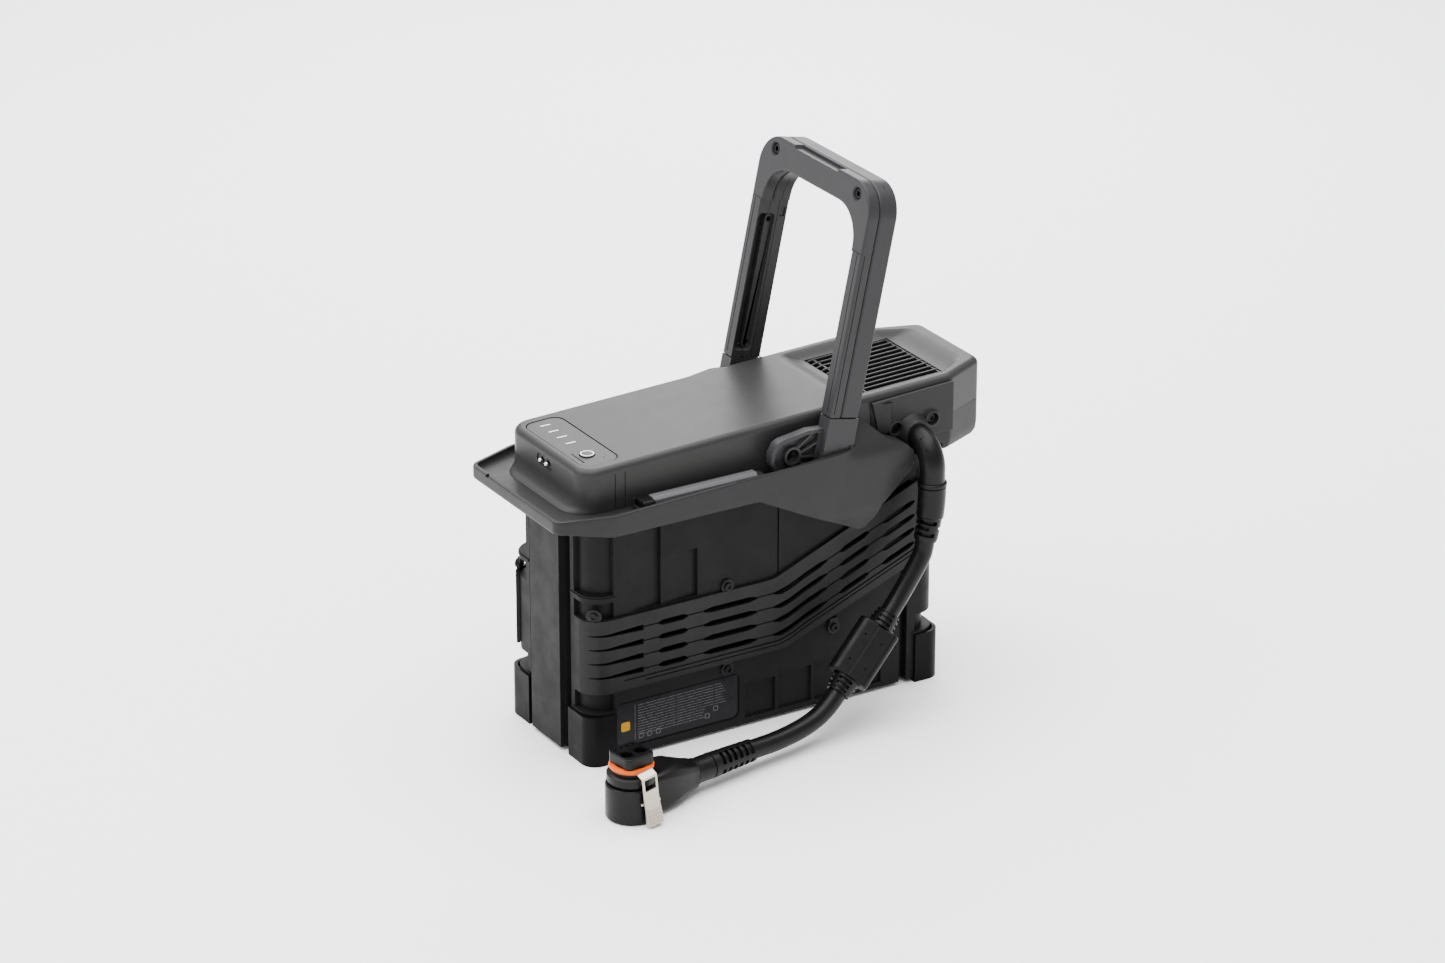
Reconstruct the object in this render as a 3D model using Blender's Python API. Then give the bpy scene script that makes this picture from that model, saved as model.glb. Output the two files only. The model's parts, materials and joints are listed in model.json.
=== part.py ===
# Removable battery pack with a folding carry handle and a thick DC output lead.
# Metres, +Z up. X runs along the pack with the tray end at -X, Y runs across it,
# and the floor that the bumpers stand on is z = 0.
import math

import bmesh
import bpy
from mathutils import Matrix, Vector

GAP = 0.0003

# tub
TUB_LENGTH = 0.331
TUB_WIDTH = 0.126
TUB_WALL = 0.003
TUB_BASE_Z = 0.003
TUB_TOP_Z = 0.205
FRAME_SEAT = 0.002
TUB_CORNER = 0.012
# length beyond the tub
FRONT_LIP = 0.0325
REAR_OVERHANG = 0.050
# corner bumpers
BUMPER_LEG = 0.026
BUMPER_HEIGHT = 0.043
BUMPER_THICK = 0.003
# label
LABEL_FROM_FRONT = 0.028
LABEL_LENGTH = 0.109
LABEL_HEIGHT = 0.034
LABEL_Z0 = 0.013
LABEL_DEPTH = 0.0008
# finned side plates, measured from the front wall and up from the floor
FIN_THICK = 0.0027
FIN_BEND = 0.176
FIN_LOW_Z = 0.063
FIN_HIGH_Z = 0.127
FIN_RISE = 0.052
FIN_SLOT_PITCH = 0.0123
FIN_SLOT_WIDTH = 0.005
# upper frame
FRAME_OVERHANG = 0.0215
APRON_BULGE = 0.0035
LIP_SET_BACK = 0.0155
LIP_TAPER = 0.0445
SHOULDER_FROM_PIVOT = 0.0375
APRON_FROM_REAR = 0.039
POCKET_FRONT = 0.047
POCKET_REAR = 0.0355
POCKET_DEPTH = 0.048
POCKET_CLEAR = 0.0008
CHANNEL_LENGTH = 0.030
CHANNEL_Z = 0.2270
CHEEK_RISE = 0.009
CHEEK_HALF = 0.013
FLOOR_THICK = 0.0125
BAND_HEIGHT = 0.018
BAND_WALL = 0.004
RISE = 0.033
# rest strips on the side ledges
STRIP_FROM_FRONT = 0.049
STRIP_WIDTH = 0.009
STRIP_HEIGHT = 0.0070
# cover
COVER_INSET = 0.0015
COVER_TOP_Z = 0.256
COVER_WALL = 0.003
COVER_FRONT_X = 0.003
COVER_REAR_HALF = 0.044
COVER_REAR_CHAMFER = 0.039
REAR_BLOCK_TOP_Z = 0.233
# grille
GRILLE_LENGTH = 0.087
GRILLE_HALF = 0.042
GRILLE_DEPTH = 0.0055
GRILLE_THICK = 0.004
GRILLE_REAR_GAP = 0.035
SLOT_COUNT = 11
# control panel
PANEL_LENGTH = 0.033
PANEL_WIDTH = 0.100
PANEL_THICK = 0.002
PANEL_SET_BACK = 0.008
BUTTON_RADIUS = 0.006
BUTTON_Y = -0.0285
BUTTON_PROUD = 0.0006
BUTTON_TRAVEL = 0.0008
CONTACT_HALF = 0.012
CONTACT_Z = 0.2445
CONTACT_DEPTH = 0.008
BOARD_THICK = 0.0016
# inside
CELL_GAP = 0.004
CELL_TOP_Z = 0.165
FAN_FROM_REAR = 0.0345
FAN_RADIUS = 0.029
FAN_HEIGHT = 0.015
# handle
LEAN = math.radians(11.9)
PIVOT_FROM_REAR = 0.130
PIVOT_Z = 0.225
LEG_FRONT = 0.0025
LEG_DEPTH = 0.028
LEG_CLEAR = 0.0050
LEG_WIDTH = 0.016
GRIP_PAST_FRONT = 0.0315
GRIP_HEIGHT = 0.0235
ARM_TOP = 0.040
OUTER_CORNER = 0.026
INNER_CORNER = 0.030
SHELL_SPLIT = 0.0105
BOLT_IN = 0.0055
BOLT_DOWN = 0.011
LOBE_CLEAR = 0.002
LOBE_THICK = 0.008
PIN_RADIUS = 0.004
PIN_INSET = 0.0022
# output lead
CABLE_DIAMETER = 0.016
LEAD_FROM_REAR = 0.0285
LEAD_Z = 0.2255
ELBOW_REACH = 0.030
ELBOW_WALL = 0.0025
COLLAR_WALL = 0.0035
COLLAR_TOP_Z = 0.190
FERRITE_LENGTH = 0.050
FERRITE_WIDTH = 0.036
FERRITE_THICK = 0.024
BOOT_LENGTH = 0.014
BRACKET_THICK = 0.0035
BRACKET_SCREW_X = 0.0175
BRACKET_SCREW_Z = 0.2345
# plug
PLUG_FROM_LEAD = (-0.31555, -0.055)
PLUG_RADIUS = 0.021
PLUG_LEAD_Z = 0.0175
PLUG_LEAD_ANGLE = math.radians(8.5)
PLUG_HEAD_RADIUS = 0.0162
PLUG_TOP_Z = 0.056
PLUG_LEAD_LENGTH = 0.117
BACKSHELL_LENGTH = 0.079
SEAL_Z = 0.0425
SEAL_THICK = 0.0042
LATCH_WIDTH = 0.014
LATCH_CLEAR = 0.0030
LATCH_PIVOT_Z = 0.0205
LATCH_PIN = 0.0010
LATCH_ANGLE = PLUG_LEAD_ANGLE - math.radians(90.0)

LENGTH = FRONT_LIP + TUB_LENGTH + REAR_OVERHANG
TIP_X = -LENGTH / 2
FRONT_X = TIP_X + FRONT_LIP
REAR_X = FRONT_X + TUB_LENGTH
RIM_X = REAR_X + REAR_OVERHANG
TUB_HALF = TUB_WIDTH / 2
BAND_HALF = TUB_HALF + FRAME_OVERHANG
APRON_HALF = BAND_HALF + APRON_BULGE
FRAME_Z = TUB_TOP_Z + FRAME_SEAT
FLOOR_Z = FRAME_Z + FLOOR_THICK
COVER_HALF = TUB_HALF - COVER_INSET
PIVOT_X = REAR_X - PIVOT_FROM_REAR
LEG_INNER = COVER_HALF + LEG_CLEAR
LEG_OUTER = LEG_INNER + LEG_WIDTH
GRILLE_REAR_X = RIM_X - GRILLE_REAR_GAP
GRILLE_FRONT_X = GRILLE_REAR_X - GRILLE_LENGTH
LEAD_X = REAR_X - LEAD_FROM_REAR
LEAD_Y = -(TUB_HALF + FRAME_SEAT + ELBOW_REACH)
ELBOW_RADIUS = CABLE_DIAMETER / 2 + ELBOW_WALL
COLLAR_RADIUS = CABLE_DIAMETER / 2 + COLLAR_WALL
PLUG_CENTRE = Vector((LEAD_X + PLUG_FROM_LEAD[0], LEAD_Y + PLUG_FROM_LEAD[1], 0.0))
GRIP_TOP = PIVOT_X - FRONT_X + GRIP_PAST_FRONT
BOLT_Y = LEG_INNER - BOLT_IN
BOLT_Z = GRIP_TOP - BOLT_DOWN
PIN_IN = COVER_HALF + PIN_INSET
PIN_LENGTH = APRON_HALF - PIN_INSET - PIN_IN
LABEL_X0 = FRONT_X + LABEL_FROM_FRONT
LABEL_X1 = LABEL_X0 + LABEL_LENGTH
LABEL_Z1 = LABEL_Z0 + LABEL_HEIGHT

# route of the lead below its collar, relative to the collar's axis, and the straight through the ferrite
LEAD_ROUTE = [
    (-0.0070, -0.0015, 0.1438), (-0.0094, -0.0019, 0.1340), (-0.0146, -0.0026, 0.1255),
    (-0.0216, -0.0036, 0.1165), (-0.0296, -0.0049, 0.1070), (-0.0374, -0.0064, 0.0985),
    (-0.0446, -0.0081, 0.0915), (-0.1046, -0.0219, 0.0375), (-0.1132, -0.0238, 0.0308),
    (-0.1220, -0.0256, 0.0258), (-0.1320, -0.0275, 0.0222), (-0.1440, -0.0295, 0.0196),
    (-0.1580, -0.0318, 0.0180), (-0.1730, -0.0342, 0.0174),
]


for old in list(bpy.data.objects):
    bpy.data.objects.remove(old, do_unlink=True)


def material(name, colour, roughness, metallic=0.0):
    mat = bpy.data.materials.new(name)
    mat.use_nodes = True
    shader = mat.node_tree.nodes["Principled BSDF"]
    shader.inputs["Base Color"].default_value = (*colour, 1.0)
    shader.inputs["Roughness"].default_value = roughness
    shader.inputs["Metallic"].default_value = metallic
    return mat


TUB_PLASTIC = material("tub_plastic", (0.045, 0.045, 0.047), 0.55)
FRAME_PLASTIC = material("frame_plastic", (0.075, 0.075, 0.078), 0.50)
COVER_PLASTIC = material("cover_plastic", (0.20, 0.20, 0.20), 0.50)
HANDLE_PLASTIC = material("handle_plastic", (0.12, 0.12, 0.13), 0.45)
BLACK_PLASTIC = material("black_plastic", (0.012, 0.012, 0.013), 0.45)
GLOSS_PANEL = material("panel_glass", (0.02, 0.02, 0.022), 0.15)
RUBBER = material("lead_rubber", (0.014, 0.014, 0.015), 0.60)
LIGHT_STRIP = material("strip_rubber", (0.30, 0.30, 0.30), 0.60)
ORANGE_SEAL = material("orange_silicone", (0.80, 0.16, 0.02), 0.50)
STEEL = material("bright_steel", (0.60, 0.56, 0.52), 0.30, 1.0)
DARK_STEEL = material("black_steel", (0.05, 0.05, 0.055), 0.35, 1.0)
BOARD_GREEN = material("board_green", (0.02, 0.12, 0.05), 0.40)
CELL_WRAP = material("cell_wrap", (0.05, 0.10, 0.25), 0.40)
WHITE_LIGHT = material("white_light", (0.85, 0.87, 0.90), 0.40)
LABEL_FILM = material("label_film", (0.03, 0.03, 0.035), 0.35)


def add_object(name, mesh, mat, parent=None):
    obj = bpy.data.objects.new(name, mesh)
    bpy.context.collection.objects.link(obj)
    mesh.materials.clear()
    mesh.materials.append(mat)
    if parent is not None:
        obj.parent = parent
    return obj


def rising(points):
    """Tilts points up toward the rear, as the whole upper housing does."""
    return [(x, y, z + RISE * (x - FRONT_X)) for x, y, z in points]


def mesh_from_rings(name, rings):
    """Joins equal rings of points into one closed solid."""
    mesh = bpy.data.meshes.new(name)
    bm = bmesh.new()
    made = [[bm.verts.new(p) for p in ring] for ring in rings]
    for low, high in zip(made, made[1:]):
        count = len(low)
        for i in range(count):
            bm.faces.new((low[i], low[(i + 1) % count], high[(i + 1) % count], high[i]))
    bm.faces.new(list(reversed(made[0])))
    bm.faces.new(made[-1])
    bmesh.ops.recalc_face_normals(bm, faces=bm.faces)
    bm.to_mesh(mesh)
    bm.free()
    return mesh


def plan_prism(name, outline, low, high, mat, parent=None, rise=False):
    """A prism whose outline lies in XY."""
    rings = [[(x, y, z) for x, y in outline] for z in (low, high)]
    if rise:
        rings = [rising(ring) for ring in rings]
    return add_object(name, mesh_from_rings(name, rings), mat, parent)


def side_prism(name, outline, low, high, mat, parent=None):
    """A prism whose outline lies in XZ and which runs from y = low to y = high."""
    rings = [[(x, y, z) for x, z in outline] for y in (low, high)]
    return add_object(name, mesh_from_rings(name, rings), mat, parent)


def box(name, low, high, mat, parent=None, rise=False):
    outline = [(low[0], low[1]), (high[0], low[1]), (high[0], high[1]), (low[0], high[1])]
    return plan_prism(name, outline, low[2], high[2], mat, parent, rise)


def hull(name, points, mat):
    mesh = bpy.data.meshes.new(name)
    bm = bmesh.new()
    for p in points:
        bm.verts.new(p)
    bmesh.ops.convex_hull(bm, input=bm.verts)
    bmesh.ops.recalc_face_normals(bm, faces=bm.faces)
    bm.to_mesh(mesh)
    bm.free()
    return add_object(name, mesh, mat)


def smooth(obj, angle=35.0):
    obj.data.shade_smooth()
    obj.data.set_sharp_from_angle(angle=math.radians(angle))


def turned(name, profile, mat, centre=(0, 0, 0), direction=(0, 0, 1), sides=24, parent=None):
    """A solid of revolution from (radius, height) pairs listed from the bottom to the top."""
    turn = Vector((0, 0, 1)).rotation_difference(Vector(direction))
    rings = []
    for radius, height in profile:
        ring = []
        for i in range(sides):
            angle = 2 * math.pi * i / sides
            point = Vector((radius * math.cos(angle), radius * math.sin(angle), height))
            ring.append(turn @ point + Vector(centre))
        rings.append(ring)
    obj = add_object(name, mesh_from_rings(name, rings), mat, parent)
    smooth(obj)
    return obj


def as_cutter(obj):
    obj.hide_render = True
    obj.display_type = "WIRE"
    return obj


def cut(obj, *cutters):
    for cutter in cutters:
        mod = obj.modifiers.new("cut", "BOOLEAN")
        mod.operation = "DIFFERENCE"
        mod.solver = "EXACT"
        mod.object = as_cutter(cutter)
    return obj


def join(obj, *others):
    for other in others:
        mod = obj.modifiers.new("join", "BOOLEAN")
        mod.operation = "UNION"
        mod.solver = "EXACT"
        mod.object = as_cutter(other)
    return obj


def bevel(obj, width, angle=40.0, segments=1):
    mod = obj.modifiers.new("edge", "BEVEL")
    mod.width = width
    mod.segments = segments
    mod.limit_method = "ANGLE"
    mod.angle_limit = math.radians(angle)
    return obj


def rounded(corners, radius, steps=4):
    """An outline with each listed corner rounded to the radius."""
    points = []
    count = len(corners)
    for i in range(count):
        before = Vector(corners[i - 1])
        here = Vector(corners[i])
        after = Vector(corners[(i + 1) % count])
        back = (before - here).normalized()
        ahead = (after - here).normalized()
        turn = math.acos(max(-1.0, min(1.0, back.dot(ahead))))
        reach = min(radius / math.tan(turn / 2), (before - here).length * 0.49,
                    (after - here).length * 0.49)
        start = here + back * reach
        end = here + ahead * reach
        for k in range(steps + 1):
            t = k / steps
            bend = start * (1 - t) ** 2 + here * 2 * t * (1 - t) + end * t ** 2
            points.append(bend[:])
    return points


def rectangle(x0, x1, half):
    return [(x0, -half), (x1, -half), (x1, half), (x0, half)]


# ---------------------------------------------------------------- tub and bumpers

def tub():
    body = plan_prism("tub", rounded(rectangle(FRONT_X, REAR_X, TUB_HALF), TUB_CORNER),
                      TUB_BASE_Z, TUB_TOP_Z, TUB_PLASTIC)
    hollow = plan_prism("tub_hollow",
                        rounded(rectangle(FRONT_X + TUB_WALL, REAR_X - TUB_WALL, TUB_HALF - TUB_WALL),
                                TUB_CORNER - TUB_WALL),
                        TUB_BASE_Z + TUB_WALL, TUB_TOP_Z + 0.01, TUB_PLASTIC)
    cut(body, hollow)
    recess = box("label_recess", (LABEL_X0 - GAP, -TUB_HALF - LABEL_DEPTH, LABEL_Z0 - GAP),
                 (LABEL_X1 + GAP, -TUB_HALF + LABEL_DEPTH, LABEL_Z1 + GAP), TUB_PLASTIC)
    cut(body, recess)


def corner_bumper(name, end, side):
    corner_x = FRONT_X if end < 0 else REAR_X
    x_in = corner_x - end * BUMPER_LEG
    x_out = corner_x + end * BUMPER_THICK
    y_in = side * (TUB_HALF - BUMPER_LEG)
    y_out = side * (TUB_HALF + BUMPER_THICK)
    xs = sorted((x_in, x_out))
    ys = sorted((y_in, y_out))
    outline = rounded([(xs[0], ys[0]), (xs[1], ys[0]), (xs[1], ys[1]), (xs[0], ys[1])], 0.001, 1)
    body = plan_prism(name, outline, 0.0, BUMPER_HEIGHT, TUB_PLASTIC)
    shape = plan_prism(name + "_round",
                       rounded(rectangle(FRONT_X - BUMPER_THICK, REAR_X + BUMPER_THICK,
                                         TUB_HALF + BUMPER_THICK), TUB_CORNER),
                       -0.01, BUMPER_HEIGHT + 0.01, TUB_PLASTIC)
    mod = body.modifiers.new("round", "BOOLEAN")
    mod.operation = "INTERSECT"
    mod.object = as_cutter(shape)
    inner = plan_prism(name + "_seat",
                       rounded(rectangle(FRONT_X - GAP, REAR_X + GAP, TUB_HALF + GAP), TUB_CORNER + GAP),
                       TUB_BASE_Z - GAP, BUMPER_HEIGHT + 0.01, TUB_PLASTIC)
    cut(body, inner)
    return body


tub()
for end, end_name in ((-1, "front"), (1, "rear")):
    for side, side_name in ((-1, "left"), (1, "right")):
        corner_bumper("corner_bumper_%s_%s" % (end_name, side_name), end, side)


# ---------------------------------------------------------------- finned side plates

def chevron(low_z, high_z, front, rear, rear_low, rear_high):
    """Side outline that is level up to the bend and then climbs to the rear."""
    bend = FRONT_X + FIN_BEND
    return [(front, low_z), (bend, low_z), (rear, rear_low), (rear, rear_high), (bend, high_z),
            (front, high_z)]


def fin_plate(name, side):
    front = FRONT_X + 0.003
    rear = REAR_X - 0.008
    ys = sorted((side * (TUB_HALF + GAP), side * (TUB_HALF + GAP + FIN_THICK)))
    outline = chevron(FIN_LOW_Z, FIN_HIGH_Z, front, rear, FIN_LOW_Z + FIN_RISE,
                      FIN_HIGH_Z + FIN_RISE * 1.15)
    plate = side_prism(name, outline, ys[0], ys[1], TUB_PLASTIC)
    slots = []
    groove = sorted((side * (TUB_HALF + GAP + FIN_THICK * 0.4), side * (TUB_HALF + 0.01)))
    for row in range(4):
        mid = FIN_HIGH_Z - 0.0127 - row * FIN_SLOT_PITCH
        low = mid - FIN_SLOT_WIDTH / 2
        high = mid + FIN_SLOT_WIDTH / 2
        climb = FIN_RISE * 1.1
        slots.append(side_prism("%s_slot_%d" % (name, row),
                                chevron(low, high, front + 0.008, rear - 0.012, low + climb, high + climb),
                                groove[0], groove[1], TUB_PLASTIC))
    cut(plate, *slots)
    return plate


LAST_SCREW = 0.228
LAST_SCREW_Z = (FIN_LOW_Z + FIN_RISE * (LAST_SCREW - FIN_BEND) / (TUB_LENGTH - 0.008 - FIN_BEND)
                - 0.0094)
FIN_SCREWS = [(0.0075, 0.1325), (0.1265, 0.1325), (0.1265, 0.0570), (LAST_SCREW, LAST_SCREW_Z)]

for side, side_name in ((-1, "left"), (1, "right")):
    fin_plate("fin_plate_" + side_name, side)
    for number, (along, up) in enumerate(FIN_SCREWS, 1):
        turned("fin_screw_%s_%d" % (side_name, number),
               [(0.0036, 0.0), (0.0042, 0.0005), (0.0042, 0.0022), (0.0034, 0.0030)], DARK_STEEL,
               (FRONT_X + along, side * (TUB_HALF + GAP), up), (0, side, 0), 12)

side_prism("rating_label",
           [(LABEL_X0, LABEL_Z0), (LABEL_X1, LABEL_Z0), (LABEL_X1, LABEL_Z1), (LABEL_X0, LABEL_Z1)],
           -TUB_HALF - 0.0002, -TUB_HALF + LABEL_DEPTH - GAP, LABEL_FILM)


# ---------------------------------------------------------------- upper frame

SHOULDER_X = PIVOT_X + SHOULDER_FROM_PIVOT
APRON_REAR_X = REAR_X - APRON_FROM_REAR
POCKET_FRONT_X = PIVOT_X - POCKET_FRONT
POCKET_REAR_X = PIVOT_X + POCKET_REAR
POCKET_IN = LEG_INNER - POCKET_CLEAR - GAP
POCKET_OUT = LEG_OUTER + POCKET_CLEAR
CHEEK_TOP_Z = PIVOT_Z + CHEEK_RISE


def frame_outline(inset=0.0):
    """Plan of the tray and side bands, as pairs listed round from the near front corner."""
    tip_half = BAND_HALF - LIP_SET_BACK - inset * 0.7
    half = BAND_HALF - inset
    near = [(TIP_X + inset, -tip_half), (TIP_X + LIP_TAPER + inset * 0.4, -half),
            (APRON_REAR_X - inset, -half), (APRON_REAR_X + 0.006 - inset, -COVER_HALF + 0.0005 + inset)]
    return near


def upper_frame():
    near = frame_outline()
    rear_half = COVER_HALF - 0.0005
    tail = [(RIM_X - COVER_REAR_CHAMFER, -rear_half), (RIM_X, -COVER_REAR_HALF)]
    half = near + tail
    outline = half + [(x, -y) for x, y in reversed(half)]
    body = plan_prism("upper_frame", outline, FRAME_Z, FLOOR_Z, FRAME_PLASTIC)

    walls = frame_outline()[:2] + [(SHOULDER_X + 0.015, -BAND_HALF)]
    outer = walls + [(x, -y) for x, y in reversed(walls)]
    inner_half = frame_outline(BAND_WALL)[:2] + [(SHOULDER_X + 0.03, -(BAND_HALF - BAND_WALL))]
    inner = inner_half + [(x, -y) for x, y in reversed(inner_half)]
    rings = [[(x, y, FRAME_Z + 0.001) for x, y in outer],
             [(x, y, FRAME_Z + BAND_HEIGHT + RISE * (x - FRONT_X)) for x, y in outer]]
    wall = add_object("band_wall", mesh_from_rings("band_wall", rings), FRAME_PLASTIC)
    tray = plan_prism("tray_hollow", inner, FLOOR_Z, FLOOR_Z + 0.082, FRAME_PLASTIC)
    cut(wall, tray)
    join(body, wall)

    rear_plan = [(REAR_X + 0.003, -rear_half), (RIM_X - COVER_REAR_CHAMFER, -rear_half),
                 (RIM_X, -COVER_REAR_HALF)]
    rear_plan = rear_plan + [(x, -y) for x, y in reversed(rear_plan)]
    rear_block = plan_prism("rear_block", rear_plan, FRAME_Z + 0.002, REAR_BLOCK_TOP_Z, FRAME_PLASTIC)
    rear_hollow = plan_prism("rear_hollow", rectangle(REAR_X + 0.008, RIM_X - 0.006,
                                                      COVER_REAR_HALF - 0.006),
                             FLOOR_Z - 0.004, REAR_BLOCK_TOP_Z + 0.01, FRAME_PLASTIC)
    join(body, rear_block)

    for side in (-1, 1):
        tag = "left" if side < 0 else "right"
        shoulder = []
        for x, z in ((SHOULDER_X - 0.003, FRAME_Z + 0.004), (LEAD_X - 0.036, FRAME_Z + 0.004),
                     (SHOULDER_X + 0.0065, COVER_TOP_Z + 0.001), (LEAD_X - 0.036, COVER_TOP_Z + 0.001)):
            out = APRON_HALF - 0.002 if z < COVER_TOP_Z else LEG_INNER + 0.001
            shoulder.append((x, side * (COVER_HALF + 0.0012), z))
            shoulder.append((x, side * out, z))
        join(body, hull("shoulder_" + tag, shoulder, FRAME_PLASTIC))
        skin = []
        for x, z, half in ((PIVOT_X - 0.046, FLOOR_Z + 0.0085, BAND_HALF - 0.0005),
                           (APRON_REAR_X - 0.002, FLOOR_Z - 0.004, BAND_HALF - 0.0005),
                           (PIVOT_X - 0.040, FRAME_Z - 0.008, BAND_HALF),
                           (PIVOT_X + 0.012, FLOOR_Z, APRON_HALF),
                           (PIVOT_X + 0.036, FLOOR_Z + 0.006, APRON_HALF),
                           (PIVOT_X + 0.020, FRAME_Z - 0.036, APRON_HALF - 0.002),
                           (PIVOT_X + 0.045, FRAME_Z - 0.048, APRON_HALF - 0.006),
                           (PIVOT_X + 0.058, FRAME_Z - 0.036, APRON_HALF - 0.006),
                           (APRON_REAR_X - 0.002, FRAME_Z - 0.004, BAND_HALF - 0.002)):
            skin.append((x, side * half, z))
            skin.append((x, side * (TUB_HALF + FIN_THICK + 0.0012), z))
        join(body, hull("apron_" + tag, skin, FRAME_PLASTIC))

        pocket_x = (POCKET_FRONT_X, POCKET_REAR_X)
        ys = sorted((side * POCKET_IN, side * POCKET_OUT))
        pocket = box("arm_pocket_" + tag, (pocket_x[0], ys[0], PIVOT_Z - POCKET_DEPTH),
                     (pocket_x[1], ys[1], 0.32),
                     FRAME_PLASTIC)
        ys = sorted((side * (TUB_HALF - 0.002), side * (POCKET_IN + 0.001)))
        under = box("arm_relief_" + tag, (pocket_x[0], ys[0], FRAME_Z - 0.07),
                    (pocket_x[1], ys[1], FRAME_Z),
                    FRAME_PLASTIC)
        ys = sorted((side * POCKET_IN, side * POCKET_OUT))
        channel = box("leg_channel_" + tag, (pocket_x[0] - CHANNEL_LENGTH, ys[0], CHANNEL_Z),
                      (pocket_x[0] + 0.001, ys[1], 0.32), FRAME_PLASTIC)
        cut(body, pocket, under, channel)
        ys = sorted((side * (COVER_HALF + 0.0012), side * (POCKET_IN + 0.0002)))
        cheek = box("pivot_cheek_" + tag, (PIVOT_X - CHEEK_HALF, ys[0], FLOOR_Z - 0.002),
                    (PIVOT_X + CHEEK_HALF, ys[1], CHEEK_TOP_Z), FRAME_PLASTIC)
        join(body, cheek)
        bore = turned("pin_bore_" + tag, [(PIN_RADIUS + GAP, -0.004),
                                          (PIN_RADIUS + GAP, PIN_LENGTH + 2 * GAP)],
                      FRAME_PLASTIC, (PIVOT_X, side * PIN_IN, PIVOT_Z), (0, side, 0), 20)
        bore.data.transform(Matrix.Translation((0, -side * GAP, 0)))
        cut(body, bore)
        turned("pivot_pin_" + tag, [(PIN_RADIUS, 0.0), (PIN_RADIUS, PIN_LENGTH)], STEEL,
               (PIVOT_X, side * PIN_IN, PIVOT_Z), (0, side, 0), 20)

    well = plan_prism("cell_opening", rounded(rectangle(FRONT_X + 0.016, REAR_X - 0.016, TUB_HALF - 0.014),
                                              0.006, 2), FRAME_Z - 0.01, FLOOR_Z + 0.01, FRAME_PLASTIC)
    notch = turned("lead_notch", [(ELBOW_RADIUS + 0.0008, -0.004), (ELBOW_RADIUS + 0.0008, 0.05)],
                   FRAME_PLASTIC, (LEAD_X, -COVER_HALF, LEAD_Z), (0, -1, 0))
    drop = turned("lead_drop", [(ELBOW_RADIUS + 0.0012, -0.08), (ELBOW_RADIUS + 0.0012, 0.01)],
                  FRAME_PLASTIC, (LEAD_X, LEAD_Y, LEAD_Z))
    cut(body, well, rear_hollow, notch, drop)


upper_frame()

for side, side_name in ((-1, "left"), (1, "right")):
    strip_front = FRONT_X + STRIP_FROM_FRONT
    strip_rear = POCKET_FRONT_X - 0.006
    ys = sorted((side * (LEG_INNER + 0.001), side * (LEG_INNER + 0.001 + STRIP_WIDTH)))
    strip = plan_prism("ledge_strip_" + side_name,
                       [(strip_front, ys[0]), (strip_rear, ys[0]), (strip_rear, ys[1]),
                        (strip_front, ys[1])],
                       FLOOR_Z + GAP, FLOOR_Z + STRIP_HEIGHT, LIGHT_STRIP)
    bevel(strip, 0.001)


# ---------------------------------------------------------------- top cover and what sits in it

def cover_outline(front_x, half, rear_half, rear_x, nose):
    near = [(front_x, -half + nose), (front_x + nose * 0.9, -half), (rear_x - COVER_REAR_CHAMFER, -half),
            (rear_x, -rear_half)]
    return near + [(x, -y) for x, y in reversed(near)]


def cover_ring(z, front_x, half, rear_half, rear_x, nose):
    ring = [(x, y, z) for x, y in cover_outline(front_x, half, rear_half, rear_x, nose)]
    return rising(ring)


COVER_X = FRONT_X - COVER_FRONT_X
GRILLE_Z = COVER_TOP_Z - GRILLE_DEPTH
PANEL_X0 = COVER_X + PANEL_SET_BACK
PANEL_X1 = PANEL_X0 + PANEL_LENGTH


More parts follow.
